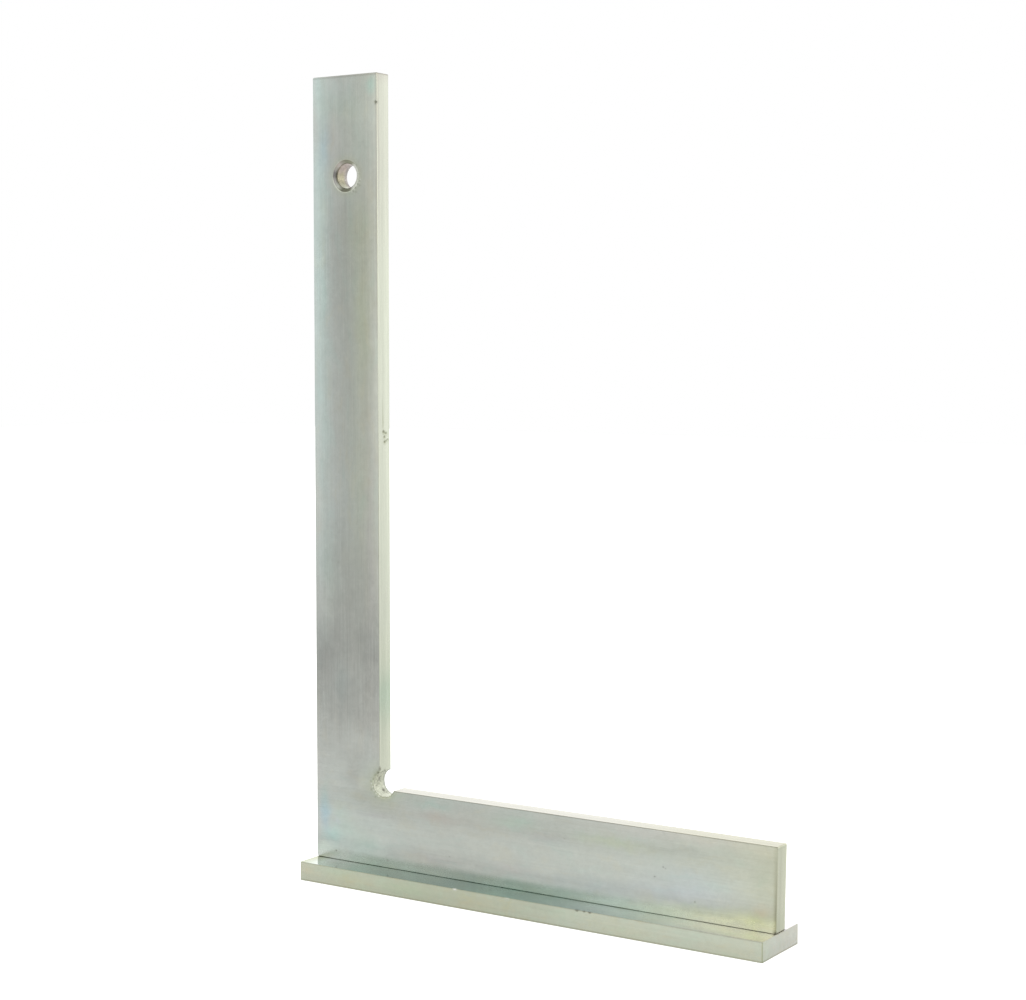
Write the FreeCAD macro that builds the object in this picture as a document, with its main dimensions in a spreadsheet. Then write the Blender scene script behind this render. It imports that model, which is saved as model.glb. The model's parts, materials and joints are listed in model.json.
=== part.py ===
import FreeCAD, Part
import Sketcher
import os

# Steel back square: an L-shaped plate (blade) standing on a flat foot bar.
#
# Frame: origin at the centre of the foot's underside, +Z up along the long
# leg, +X from the heel (the outer corner of the L) to the toe (the end of the
# short leg), +Y from the front ledge to the back ledge.  Millimetres.
#
# Pieces: blade, foot, three countersunk screws driven up through the foot
# into the blade's bottom edge, and two dowel pins that hold the blade square
# to the foot.

doc = FreeCAD.newDocument("back_square")

# ---------------------------------------------------------------- dimensions
# alias, value, what it measures
DIMS = [
    # whole square
    ("blade_length", 165.0, "outer length of the short leg and of the foot"),
    ("blade_height", 250.0, "outer height of the long leg above the foot's top"),
    ("leg_width", 25.0, "width of the short leg, above the foot's top"),
    ("long_leg_width", 25.4, "width of the long leg"),
    ("blade_thick", 6.0, "thickness of the L-shaped plate"),
    ("toe_setback", 0.4, "how far the toe end leans in at its bottom corner"),
    ("edge_break", 0.2, "45 degree break on the blade's outline edges"),
    ("bottom_break", 0.3, "45 degree break on the edges that stand in the seat"),
    # foot bar
    ("foot_width", 23.0, "width of the foot across the blade"),
    ("foot_thick", 6.0, "thickness of the foot"),
    ("foot_break", 0.2, "45 degree break on the foot's edges"),
    ("front_ledge", 9.0, "foot's top in front of the blade"),
    ("seat_depth", 0.1, "depth of the seat the blade stands in"),
    ("seat_gap", 0.05, "gap between the seat's wall and the blade, each side"),
    # inner corner relief
    ("relief_dia", 8.2, "round relief in the inner corner"),
    ("relief_shift", 1.65, "relief centre beyond each inner edge"),
    ("relief_break", 0.2, "edge break of the relief"),
    # hanging hole
    ("hang_dia", 7.8, "bore of the hanging hole"),
    ("hang_inset", 13.0, "hanging hole centre from the heel edge"),
    ("hang_height", 218.7, "hanging hole centre above the foot's top"),
    ("hang_sink_wide", 1.15, "countersink of the hole, front: width of its ring"),
    ("hang_sink_deep", 0.66, "countersink of the hole, front: depth, a 120 degree cone"),
    ("hang_back_sink", 0.3, "45 degree edge break of the hole, back"),
    # countersunk screws
    ("screw_span", 65.0, "outer screws from the middle of the foot"),
    ("screw_long", 12.0, "overall length of the screw"),
    ("tip_taper", 0.35, "length of the taper at the screw's tip"),
    ("tip_step", 0.05, "tip's radius below the thread root"),
    ("head_dia", 5.7, "head diameter"),
    ("head_land", 0.2, "cylindrical land of the head"),
    ("head_sink", 0.23, "head below the foot's underside"),
    ("socket_flats", 2.0, "hexagon socket across flats"),
    ("socket_depth", 1.1, "hexagon socket depth"),
    ("clear_dia", 3.4, "screw clearance hole in the foot"),
    ("sink_dia", 6.6, "countersink diameter on the foot's underside"),
    # M3 thread of the screws
    ("thread_lead", 0.5, "pitch of the thread"),
    ("thread_crest", 1.49, "radius of the screw's thread crest"),
    ("thread_root", 1.19, "radius of the screw's thread root"),
    ("groove_start", 2.35, "first groove, above the head's face"),
    ("groove_half", 0.045, "half width of the groove at its root"),
    ("groove_past", 0.03, "how far the groove's form reaches outside the crest"),
    # tapped holes
    ("tap_dia", 2.5, "tap drill"),
    ("tap_depth", 9.0, "tapped hole depth in the blade"),
    ("tap_root", 1.53, "radius of the blade's thread root"),
    ("tap_overlap", 0.02, "how far the groove's form reaches inside the drilled wall"),
    ("crest_half", 0.0335, "half width allowed for the screw's crest"),
    ("flank_gap", 0.03, "added to each side of the crest's half width"),
    # dowel pins
    ("pin_span", 45.0, "dowel pins from the middle of the foot"),
    ("pin_dia", 3.0, "dowel pin diameter"),
    ("pin_fit", 0.02, "pin hole larger than the pin"),
    ("pin_long", 12.0, "dowel pin length"),
    ("pin_sink", 0.4, "dowel pin below the foot's underside"),
    ("pin_depth", 7.5, "dowel hole depth in the blade"),
    ("pin_break", 0.3, "dowel pin end chamfer"),
]

sheet = doc.addObject("Spreadsheet::Sheet", "dims")
sheet.Label = "dims"
for row, (alias, value, note) in enumerate(DIMS, start=1):
    sheet.set("A%d" % row, alias)
    sheet.set("B%d" % row, str(value))
    sheet.set("C%d" % row, note)
    sheet.setAlias("B%d" % row, alias)
doc.recompute()


class Dim:
    """A length together with the sheet expression it comes from."""

    def __init__(self, value, text):
        self.value, self.text = float(value), text

    @staticmethod
    def of(other):
        return other if isinstance(other, Dim) else Dim(other, repr(float(other)))

    def __add__(self, other):
        other = Dim.of(other)
        return Dim(self.value + other.value, "(%s + %s)" % (self.text, other.text))

    def __sub__(self, other):
        other = Dim.of(other)
        return Dim(self.value - other.value, "(%s - %s)" % (self.text, other.text))

    def __mul__(self, other):
        other = Dim.of(other)
        return Dim(self.value * other.value, "(%s * %s)" % (self.text, other.text))

    def __neg__(self):
        return Dim(-self.value, "(-1 * %s)" % self.text)


def dim(alias):
    return Dim(sheet.get(alias), "dims." + alias)


ZERO = Dim(0.0, "0")
COS30 = 0.8660254037844387
TAN30 = 0.5773502691896257                   # flank slope of a 60 degree thread
CUT_PAST = 1.0                               # how far the seat's cut overshoots the foot
DRILL_POINT = 118.0                          # degrees

LENGTH, THICK = dim("blade_length"), dim("blade_thick")
FOOT_WIDTH, FOOT_THICK = dim("foot_width"), dim("foot_thick")
SEAT = dim("seat_depth")
SEAT_Z = FOOT_THICK - SEAT                   # where the blade stands
BLADE_Y = dim("front_ledge") - FOOT_WIDTH * 0.5  # blade's front face
MID_Y = BLADE_Y + THICK * 0.5                # middle of the blade's thickness

LEAD = dim("thread_lead")
CREST, ROOT = dim("thread_crest"), dim("thread_root")
PIN_HOLE = dim("pin_dia") + dim("pin_fit")

# places along the foot
SCREW_X = {"heel": -dim("screw_span"), "middle": ZERO, "toe": dim("screw_span")}
PIN_X = {"heel": -dim("pin_span"), "toe": dim("pin_span")}


# ------------------------------------------------------- bodies and sketches
def place(obj, prop, shift):
    """Set a placement property to a shift, each axis bound to the sheet."""
    base = FreeCAD.Vector(*[d.value for d in shift])
    setattr(obj, prop, FreeCAD.Placement(base, FreeCAD.Rotation()))
    for axis, d in zip("xyz", shift):
        if d is not ZERO:
            obj.setExpression("%s.Base.%s" % (prop, axis), d.text)


def new_body(label, at):
    body = doc.addObject("PartDesign::Body", label)
    body.Label = label
    place(body, "Placement", at)
    return body


def origin_plane(body, role):
    for feature in body.Origin.OriginFeatures:
        if feature.Role == role:
            return feature
    raise RuntimeError("no " + role)


def new_sketch(body, name, role, shift=(ZERO, ZERO, ZERO)):
    sketch = body.newObject("Sketcher::SketchObject", name)
    sketch.AttachmentSupport = [(origin_plane(body, role), "")]
    sketch.MapMode = "FlatFace"
    place(sketch, "AttachmentOffset", shift)
    return sketch


def bind(sketch, index, d):
    if d.text.startswith(("(", "dims.")):
        sketch.setExpression("Constraints[%d]" % index, d.text)


def pin_point(sketch, geometry, point, x, y):
    """Hold one point of the sketch at (x, y) from the sketch's origin."""
    for kind, d, axis in (("DistanceX", x, -2), ("DistanceY", y, -1)):
        if abs(d.value) < 1e-9:
            sketch.addConstraint(Sketcher.Constraint("PointOnObject", geometry, point, axis))
        else:
            index = sketch.addConstraint(
                Sketcher.Constraint(kind, -1, 1, geometry, point, d.value))
            bind(sketch, index, d)


def polygon(body, name, role, corners, shift=(ZERO, ZERO, ZERO)):
    """A sketch of one closed polygon."""
    sketch = new_sketch(body, name, role, shift)
    points = [FreeCAD.Vector(x.value, y.value, 0) for x, y in corners]
    count = len(points)
    for i in range(count):
        sketch.addGeometry(Part.LineSegment(points[i], points[(i + 1) % count]))
    for i in range(count):
        sketch.addConstraint(Sketcher.Constraint("Coincident", i, 2, (i + 1) % count, 1))
    for i, (x, y) in enumerate(corners):
        pin_point(sketch, i, 1, x, y)
    return sketch


def circles(body, name, role, centres, dia):
    """A sketch of equal circles."""
    sketch = new_sketch(body, name, role)
    for x, y in centres:
        circle = sketch.addGeometry(Part.Circle(
            FreeCAD.Vector(x.value, y.value, 0), FreeCAD.Vector(0, 0, 1), dia.value / 2))
        index = sketch.addConstraint(Sketcher.Constraint("Diameter", circle, dia.value))
        bind(sketch, index, dia)
        pin_point(sketch, circle, 3, x, y)
    return sketch


# ------------------------------------------------------------------ features
def set_dim(feature, prop, d):
    setattr(feature, prop, d.value)
    feature.setExpression(prop, d.text)


def must_cut(feature):
    """A pocket or hole that misses the solid shows no error: compare volumes."""
    doc.recompute()
    if not feature.Shape.Volume < feature.BaseFeature.Shape.Volume - 1e-6:
        raise RuntimeError("%s cut nothing" % feature.Name)


def extrude(body, kind, name, sketch, length=None, reverse=False, midplane=False):
    """A Pad or a Pocket; without a length it goes through all."""
    feature = body.newObject("PartDesign::" + kind, name)
    feature.Profile = sketch
    if length is None:
        feature.Type = "ThroughAll"
    else:
        set_dim(feature, "Length", length)
    feature.Reversed = reverse
    feature.Midplane = midplane
    if kind == "Pocket":
        must_cut(feature)
    return feature


def revolve(body, name, sketch):
    feature = body.newObject("PartDesign::Revolution", name)
    feature.Profile = sketch
    feature.ReferenceAxis = (sketch, ["V_Axis"])
    feature.Angle = 360


def chamfer(body, name, base, size, wanted):
    """Chamfer the edges of base that wanted() picks."""
    doc.recompute()
    names = ["Edge%d" % (i + 1) for i, edge in enumerate(base.Shape.Edges) if wanted(edge)]
    if not names:
        raise RuntimeError("no edges for " + name)
    feature = body.newObject("PartDesign::Chamfer", name)
    feature.Base = (base, names)
    set_dim(feature, "Size", size)
    return feature


def holes(body, name, sketch, bound, **settings):
    """Plain holes going up from the XY plane; bound holds the sheet-driven sizes."""
    doc.recompute()
    feature = body.newObject("PartDesign::Hole", name)
    feature.Profile = sketch
    doc.recompute()
    feature.Threaded = False
    feature.ThreadType = "None"
    for prop, value in settings.items():
        setattr(feature, prop, value)
    feature.Reversed = True
    for prop, d in bound.items():
        set_dim(feature, prop, d)
    must_cut(feature)


def helix_cut(body, name, sketch, rise):
    feature = body.newObject("PartDesign::SubtractiveHelix", name)
    feature.Profile = sketch
    feature.ReferenceAxis = (sketch, ["V_Axis"])
    feature.Mode = "pitch-height-angle"
    set_dim(feature, "Pitch", LEAD)
    set_dim(feature, "Height", rise)
    must_cut(feature)


# --------------------------------------------------------------------- blade
# Own origin: the outer bottom corner at the heel, on the front face.
def at_y(edge, y):
    """True for an edge that lies wholly in the plane y."""
    box = edge.BoundBox
    return abs(box.YMin - y) < 1e-5 and abs(box.YMax - y) < 1e-5


def on_faces(edge, curve):
    """True for an edge of this curve type on the blade's front or back face."""
    return (at_y(edge, 0.0) or at_y(edge, THICK.value)) and edge.Curve.TypeId == curve


def relief_edge(edge):
    return on_faces(edge, "Part::GeomCircle")


def bottom_edge(edge):
    return on_faces(edge, "Part::GeomLine") and edge.BoundBox.ZMax < 1e-5


def outline_edge(edge):
    return on_faces(edge, "Part::GeomLine") and edge.BoundBox.ZMax > 1e-5


def is_ring(edge, y, radius):
    return (at_y(edge, y) and edge.Curve.TypeId == "Part::GeomCircle"
            and abs(edge.Curve.Radius - radius) < 1e-4)


def cut_plate(blade):
    """The L-shaped plate with its corner relief and broken edges."""
    inner_x, inner_z = dim("long_leg_width"), dim("leg_width") + SEAT
    top = dim("blade_height") + SEAT
    outline = polygon(blade, "blade_outline", "XZ_Plane", [
        (ZERO, ZERO),
        (LENGTH - dim("toe_setback"), ZERO),
        (LENGTH, inner_z),
        (inner_x, inner_z),
        (inner_x, top),
        (ZERO, top),
    ])
    extrude(blade, "Pad", "blade_plate", outline, THICK, reverse=True)

    # round relief in the inner corner, so that a sharp corner or a burr clears it
    shift = dim("relief_shift")
    circle = circles(blade, "relief_circle", "XZ_Plane",
                     [(inner_x + shift, inner_z + shift)], dim("relief_dia"))
    relief = extrude(blade, "Pocket", "corner_relief", circle)

    # broken edges all round, front and back; the two that stand in the seat are
    # broken deeper, which leaves a fine V groove along the joint
    rim = chamfer(blade, "relief_rim", relief, dim("relief_break"), relief_edge)
    bottom = chamfer(blade, "broken_bottom", rim, dim("bottom_break"), bottom_edge)
    chamfer(blade, "broken_edges", bottom, dim("edge_break"), outline_edge)


def cut_hanging_hole(blade):
    """The hanging hole, countersunk in front and broken at the back."""
    radius = dim("hang_dia").value / 2
    wide = dim("hang_sink_wide")
    circle = circles(blade, "hanging_circle", "XZ_Plane",
                     [(dim("hang_inset"), dim("hang_height") + SEAT)], dim("hang_dia"))
    bore = extrude(blade, "Pocket", "hanging_bore", circle)
    sink = chamfer(blade, "hanging_countersink", bore, wide,
                   lambda edge: is_ring(edge, 0.0, radius))
    sink.ChamferType = "Two distances"
    set_dim(sink, "Size2", dim("hang_sink_deep"))
    doc.recompute()

    def has_mouth():
        return any(is_ring(edge, 0.0, radius + wide.value) for edge in sink.Shape.Edges)

    # which face the first distance lies on depends on the edge: flip if it is the bore
    if not has_mouth():
        sink.FlipDirection = True
        doc.recompute()
    if not has_mouth():
        raise RuntimeError("the countersink has the wrong mouth")
    chamfer(blade, "hanging_back_rim", sink, dim("hang_back_sink"),
            lambda edge: is_ring(edge, THICK.value, radius))


def bottom_holes(blade, name, sketch_name, places, drawn_dia, dia, depth):
    """Blind holes in the middle of the blade's bottom edge."""
    centres = circles(blade, sketch_name, "XY_Plane",
                      [(x, THICK * 0.5) for x in places], drawn_dia)
    holes(blade, name, centres, {"Diameter": dia, "Depth": depth},
          DepthType="Dimension", DrillPoint="Angled", DrillPointAngle=DRILL_POINT)


def cut_tap_threads(blade, places):
    """A 60 degree groove in each tapped hole, clear of the screw's flanks."""
    outer = dim("tap_root")
    inner = dim("tap_dia") * 0.5 - dim("tap_overlap")
    half_root = dim("crest_half") + dim("flank_gap") - (outer - CREST) * TAN30
    half_open = half_root + (outer - inner) * TAN30
    # an odd number of half pitches from the screw's groove, so that its crest runs
    # in this one, and below the bottom edge so that the first turn is complete
    start = dim("groove_start") + dim("head_sink") - SEAT_Z + LEAD * 5.5
    for tag, x in places.items():
        form = polygon(blade, "thread_form_" + tag, "XZ_Plane", [
            (inner, start - half_open),
            (outer, start - half_root),
            (outer, start + half_root),
            (inner, start + half_open),
        ], shift=(x, ZERO, THICK * -0.5))
        helix_cut(blade, "thread_" + tag, form, LEAD * 16.0)


def make_blade():
    blade = new_body("blade", (LENGTH * -0.5, BLADE_Y, SEAT_Z))
    cut_plate(blade)
    cut_hanging_hole(blade)
    middle = LENGTH * 0.5
    taps = {tag: middle + x for tag, x in SCREW_X.items()}
    dowels = [middle + x for x in PIN_X.values()]
    bottom_holes(blade, "tap_holes", "tap_centres", taps.values(),
                 dim("tap_dia"), dim("tap_dia"), dim("tap_depth"))
    bottom_holes(blade, "dowel_holes", "dowel_centres", dowels,
                 dim("pin_dia"), PIN_HOLE, dim("pin_depth"))
    cut_tap_threads(blade, taps)
    return blade


# ---------------------------------------------------------------------- foot
# Own origin: the centre of the underside.
def make_foot():
    foot = new_body("foot", (ZERO, ZERO, ZERO))
    half_x, half_y = LENGTH * 0.5, FOOT_WIDTH * 0.5
    outline = polygon(foot, "foot_outline", "XY_Plane", [
        (-half_x, -half_y), (half_x, -half_y), (half_x, half_y), (-half_x, half_y)])
    bar = extrude(foot, "Pad", "foot_bar", outline, FOOT_THICK)
    chamfer(foot, "foot_broken_edges", bar, dim("foot_break"), lambda edge: True)

    # the seat the blade stands in, open at both ends
    front = BLADE_Y - dim("seat_gap")
    back = BLADE_Y + THICK + dim("seat_gap")
    above = FOOT_THICK + CUT_PAST
    section = polygon(foot, "seat_section", "YZ_Plane", [
        (front, SEAT_Z), (back, SEAT_Z), (back, above), (front, above)])
    extrude(foot, "Pocket", "blade_seat", section, LENGTH + 2 * CUT_PAST, midplane=True)

    # clearance holes, countersunk from below
    centres = circles(foot, "screw_centres", "XY_Plane",
                      [(x, MID_Y) for x in SCREW_X.values()], dim("clear_dia"))
    holes(foot, "screw_holes", centres,
          {"Diameter": dim("clear_dia"), "HoleCutDiameter": dim("sink_dia")},
          DepthType="ThroughAll", HoleCutType="Countersink", HoleCutCountersinkAngle=90.0)

    centres = circles(foot, "pin_centres", "XY_Plane",
                      [(x, MID_Y) for x in PIN_X.values()], dim("pin_dia"))
    holes(foot, "pin_holes", centres, {"Diameter": PIN_HOLE}, DepthType="ThroughAll")
    return foot


# -------------------------------------------------------------------- screws
# Own origin: the middle of the head's face, the shank pointing up.
def make_screw(label, x):
    body = new_body(label, (x, MID_Y, dim("head_sink")))
    land, head_radius, long = dim("head_land"), dim("head_dia") * 0.5, dim("screw_long")
    section = polygon(body, label + "_section", "XZ_Plane", [
        (ZERO, ZERO),
        (head_radius, ZERO),
        (head_radius, land),
        (CREST, land + head_radius - CREST),
        (CREST, long - dim("tip_taper")),
        (ROOT - dim("tip_step"), long),
        (ZERO, long),
    ])
    revolve(body, label + "_turned", section)

    flat = dim("socket_flats") * 0.5
    corner = dim("socket_flats") * (0.5 / COS30)
    half = corner * 0.5
    hexagon = polygon(body, label + "_hexagon", "XY_Plane", [
        (corner, ZERO), (half, flat), (-half, flat),
        (-corner, ZERO), (-half, -flat), (half, -flat),
    ])
    extrude(body, "Pocket", label + "_socket", hexagon, dim("socket_depth"), reverse=True)

    # 60 degree thread groove from under the head to past the tip
    start, outer = dim("groove_start"), CREST + dim("groove_past")
    half_root = dim("groove_half")
    half_open = half_root + (outer - ROOT) * TAN30
    form = polygon(body, label + "_thread_form", "XZ_Plane", [
        (ROOT, start - half_root),
        (outer, start - half_open),
        (outer, start + half_open),
        (ROOT, start + half_root),
    ])
    helix_cut(body, label + "_thread", form, long - start + LEAD)
    return body


# ---------------------------------------------------------------- dowel pins
# Own origin: the middle of the lower end.
def make_pin(label, x):
    body = new_body(label, (x, MID_Y, dim("pin_sink")))
    radius, bevel, long = dim("pin_dia") * 0.5, dim("pin_break"), dim("pin_long")
    section = polygon(body, label + "_section", "XZ_Plane", [
        (ZERO, ZERO), (radius - bevel, ZERO), (radius, bevel),
        (radius, long - bevel), (radius - bevel, long), (ZERO, long),
    ])
    revolve(body, label + "_turned", section)
    return body


# ----------------------------------------------------- build, check and write
pieces = [make_blade(), make_foot()]
pieces += [make_screw("screw_" + tag, x) for tag, x in SCREW_X.items()]
pieces += [make_pin("dowel_pin_" + tag, x) for tag, x in PIN_X.items()]

doc.recompute()
for obj in doc.Objects:
    if "Invalid" in obj.State or "Error" in obj.State:
        raise RuntimeError("%s failed: %s" % (obj.Label, obj.State))
for body in pieces:
    shape = body.Shape
    if shape.isNull() or not shape.isValid() or len(shape.Solids) != 1:
        raise RuntimeError("%s is not one valid solid" % body.Label)

os.makedirs("parts", exist_ok=True)
for body in pieces:
    body.Shape.exportStep(os.path.join("parts", body.Label + ".step"))
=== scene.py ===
# A zinc-plated L-shaped steel blade that stands upright on a foot bar, with its screws and pins.
# The blade lies in the XZ plane: its long leg rises at the heel (-X), its short leg runs to the
# toe (+X).  The front is -Y and the foot rests on Z = 0.  Sizes are in millimetres and are
# scaled to metres when a mesh is made.
import json
import math

import bmesh
import bpy
import numpy as np
from mathutils import Matrix, Vector, noise
from mathutils.geometry import delaunay_2d_cdt


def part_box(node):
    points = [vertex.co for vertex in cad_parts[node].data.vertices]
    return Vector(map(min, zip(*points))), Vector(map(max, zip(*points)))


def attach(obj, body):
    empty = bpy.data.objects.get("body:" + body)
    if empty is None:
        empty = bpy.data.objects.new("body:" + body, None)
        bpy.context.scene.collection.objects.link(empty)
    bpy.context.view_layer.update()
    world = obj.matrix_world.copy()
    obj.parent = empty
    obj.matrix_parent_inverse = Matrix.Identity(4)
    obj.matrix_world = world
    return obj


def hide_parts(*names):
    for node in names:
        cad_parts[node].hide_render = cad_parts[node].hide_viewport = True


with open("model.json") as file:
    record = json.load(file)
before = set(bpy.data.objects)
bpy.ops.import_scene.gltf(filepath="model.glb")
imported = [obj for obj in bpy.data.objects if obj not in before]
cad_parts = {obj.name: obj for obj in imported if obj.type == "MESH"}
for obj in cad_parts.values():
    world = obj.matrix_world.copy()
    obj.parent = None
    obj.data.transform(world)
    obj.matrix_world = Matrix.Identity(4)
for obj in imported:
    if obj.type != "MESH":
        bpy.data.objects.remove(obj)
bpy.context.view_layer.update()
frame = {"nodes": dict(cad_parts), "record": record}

MM = 0.001

# ------------------------------------------------------------------ driving sizes
FOOT_LO, FOOT_HI = [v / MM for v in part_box("foot")]
BLADE_LO, BLADE_HI = [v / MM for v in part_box("blade")]
HEEL_X, TOE_X = BLADE_LO.x, BLADE_HI.x
Y_FRONT, Y_BACK = BLADE_LO.y, BLADE_HI.y          # the blade's two flat faces
THICK = Y_BACK - Y_FRONT
Z_TOP = BLADE_HI.z
Z_LEDGE = FOOT_HI.z                               # top of the foot
Z_SEAT = BLADE_LO.z                               # bottom of the blade, just below the ledge
FOOT_FRONT, FOOT_BACK = FOOT_LO.y, FOOT_HI.y
LENGTH = 165.0                                    # heel to toe, for colours along the length
LEG_W = 25.4
INNER_X = HEEL_X + LEG_W                          # inner edge of the long leg
SHORT_Z = Z_LEDGE + 25.0                          # top edge of the short leg

# the round relief in the inner corner, and the hole at the top, as x, z, radius
RELIEF_SHIFT = 1.65
RELIEF = RELIEF_X, RELIEF_Z, RELIEF_R = (INNER_X + RELIEF_SHIFT, SHORT_Z + RELIEF_SHIFT, 4.10)
RELIEF_REACH = math.sqrt(RELIEF_R ** 2 - RELIEF_SHIFT ** 2)   # centre to where it meets an edge
hang_mount = {m["name"]: m for m in frame["record"]["mounts"]}["hang_hole"]
HANG = HANG_X, HANG_Z, HANG_R = (
    hang_mount["pos_m"][0] / MM, hang_mount["pos_m"][2] / MM, hang_mount["dims"]["r_mm"])
CONE_W, CONE_DEPTH = 1.15, 0.66                   # countersink of the hanging hole

EDGE_BREAK, SEAT_BREAK, TOE_BREAK = 0.20, 0.30, 0.16
CORNER_R, HEEL_LOW_R, TOE_LOW_R = 0.45, 0.62, 0.50
TOE_SETBACK = 0.4                                 # the toe leans in this much at its bottom
SEAT_GAP = 0.05                                   # each side of the blade in the foot's seat

SCREWS = [n for n in frame["nodes"] if n.startswith("screw_")]
PINS = [n for n in frame["nodes"] if n.startswith("dowel_pin_")]

# ------------------------------------------------------------------ marks of use
FRONT_MARKS = [  # x, z, radius, depth
    (-57.60, 246.85, 0.42, 0.30), (-74.8, 8.75, 0.34, 0.14), (-54.1, 8.45, 0.26, 0.12),
    (43.0, 17.2, 0.45, 0.03), (45.8, 20.4, 0.36, 0.035), (46.6, 20.0, 0.28, 0.03),
    (56.3, 11.5, 0.30, 0.07), (-66.0, 121.0, 0.22, 0.05), (-72.5, 168.4, 0.22, 0.04),
    (12.0, 24.2, 0.22, 0.05), (-30.0, 13.0, 0.24, 0.04), (-79.5, 60.0, 0.22, 0.05),
]
INNER_MARKS = [  # on the long leg's inner edge: y, z, radius, depth
    (0.20, 144.5, 0.46, 0.24), (1.55, 143.9, 0.44, 0.15), (0.70, 142.8, 0.42, 0.20),
    (0.85, 141.2, 0.50, 0.22), (2.35, 141.9, 0.40, 0.11), (0.80, 144.0, 0.40, 0.10),
    (1.60, 141.5, 0.40, 0.10),
]
JUNCTION_MARKS = [  # above the relief: x, y, z, radius, depth
    (-57.1, -2.3, 37.3, 0.50, 0.22), (-57.15, 0.2, 36.1, 0.55, 0.26),
    (-57.7, -2.3, 36.0, 0.45, 0.14),
]
RELIEF_MARKS = [  # on the relief's wall: angle in degrees, y, radius, depth
    (178.0, 0.8, 0.45, 0.12), (158.0, 0.2, 0.5, 0.14), (222.0, 1.3, 0.6, 0.16),
    (238.0, 1.6, 0.5, 0.12),
]
# NICK_GLINT is a painted glint, brighter than any real coat; DARK_FILL darkens a nick
DARK_FILL, NICK_GLINT = (0.12, 0.12, 0.08), (1.15, 1.15, 1.12)
NICKS = [  # along the foot's front top edge: x, radius, depth, colour inside (the dark fill, the painted glint, None), its amount
    (-21.8, 0.42, 0.13, NICK_GLINT, 0.9), (-2.6, 0.36, 0.10, NICK_GLINT, 0.4),
    (21.9, 0.40, 0.08, DARK_FILL, 0.9), (26.3, 0.34, 0.07, DARK_FILL, 0.9),
    (24.4, 0.28, 0.06, DARK_FILL, 0.9), (54.0, 0.30, 0.05, None, 0), (-58.0, 0.30, 0.05, None, 0),
]


# ------------------------------------------------------------------ outlines
class Outline:
    """A counter-clockwise outline of runs and arcs.  Each point keeps its edge break."""
    COARSE, FINE, GROWTH = 0.9, 0.11, 0.22        # point spacing, and its growth away from marks

    def __init__(self, marks):
        self.points, self.breaks, self.marks = [], [], marks

    def step(self, x, y):
        near = min(math.hypot(x - mark[0], y - mark[1]) - mark[2] for mark in self.marks)
        return min(self.COARSE, max(self.FINE, self.FINE + self.GROWTH * near))

    def add(self, x, y, edge_break):
        self.points.append((float(x), float(y)))
        self.breaks.append(float(edge_break))

    def run(self, start, end, edge_break=EDGE_BREAK, clear=(0.0, 0.0)):
        """Straight run without its last point; clear leaves a gap after or before a corner."""
        span = (end[0] - start[0], end[1] - start[1])
        length = math.hypot(*span)
        at, cuts = 0.0, [0.0]
        while True:
            at += self.step(start[0] + span[0] * at / length, start[1] + span[1] * at / length)
            if at > length - 0.5 * self.FINE:
                break
            cuts.append(at)
        for cut_at in cuts:
            if 0 < cut_at < clear[0] or cut_at > length - clear[1]:
                continue
            k = cut_at / length
            self.add(start[0] + span[0] * k, start[1] + span[1] * k, edge_break)

    def arc(self, centre, radius, start, end, steps=6, edge_break=EDGE_BREAK, clear=0.0):
        """Arc between two angles in degrees, without its last point."""
        length = radius * math.radians(abs(end - start))
        for i in range(steps):
            angle = math.radians(start + (end - start) * i / steps)
            along = length * i / steps
            if 0 < along < clear or length - along < clear:
                continue
            self.add(centre[0] + radius * math.cos(angle), centre[1] + radius * math.sin(angle),
                     edge_break)

    def corner(self, x, y, start):
        self.arc((x, y), CORNER_R, start, start + 90)


def blade_outline():
    """The L in x and z, from the heel's bottom corner."""
    r = CORNER_R
    lean = math.degrees(math.atan2(TOE_SETBACK, SHORT_Z - Z_SEAT))
    toe_low_x = TOE_X - TOE_SETBACK
    relief_start = math.degrees(math.atan2(-RELIEF_SHIFT, RELIEF_REACH))
    relief_end = math.degrees(math.atan2(RELIEF_REACH, -RELIEF_SHIFT)) - 360.0
    near = [(x, z, radius) for x, z, radius, _ in FRONT_MARKS]
    near += [(INNER_X, z, radius) for _, z, radius, _ in INNER_MARKS]
    near += [(x, z, radius) for x, _, z, radius, _ in JUNCTION_MARKS]
    out = Outline(near)
    out.arc((HEEL_X + HEEL_LOW_R, Z_SEAT + HEEL_LOW_R), HEEL_LOW_R, 180, 270,
            edge_break=SEAT_BREAK)
    out.run((HEEL_X + HEEL_LOW_R, Z_SEAT), (toe_low_x - TOE_LOW_R, Z_SEAT), SEAT_BREAK)
    out.arc((toe_low_x - TOE_LOW_R, Z_SEAT + TOE_LOW_R), TOE_LOW_R, -90, -lean, 4, TOE_BREAK)
    out.run((toe_low_x, Z_SEAT + TOE_LOW_R), (TOE_X, SHORT_Z - r))
    out.corner(TOE_X - r, SHORT_Z - r, 0)
    out.run((TOE_X - r, SHORT_Z), (RELIEF_X + RELIEF_REACH, SHORT_Z), clear=(0, 0.6))
    out.arc((RELIEF_X, RELIEF_Z), RELIEF_R, relief_start, relief_end, 96, clear=0.6)
    out.run((INNER_X, RELIEF_Z + RELIEF_REACH), (INNER_X, Z_TOP - r), clear=(0.6, 0))
    out.corner(INNER_X - r, Z_TOP - r, 0)
    out.run((INNER_X - r, Z_TOP), (HEEL_X + r, Z_TOP))
    out.corner(HEEL_X + r, Z_TOP - r, 90)
    out.run((HEEL_X, Z_TOP - r), (HEEL_X, Z_SEAT + HEEL_LOW_R))
    return out


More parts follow.
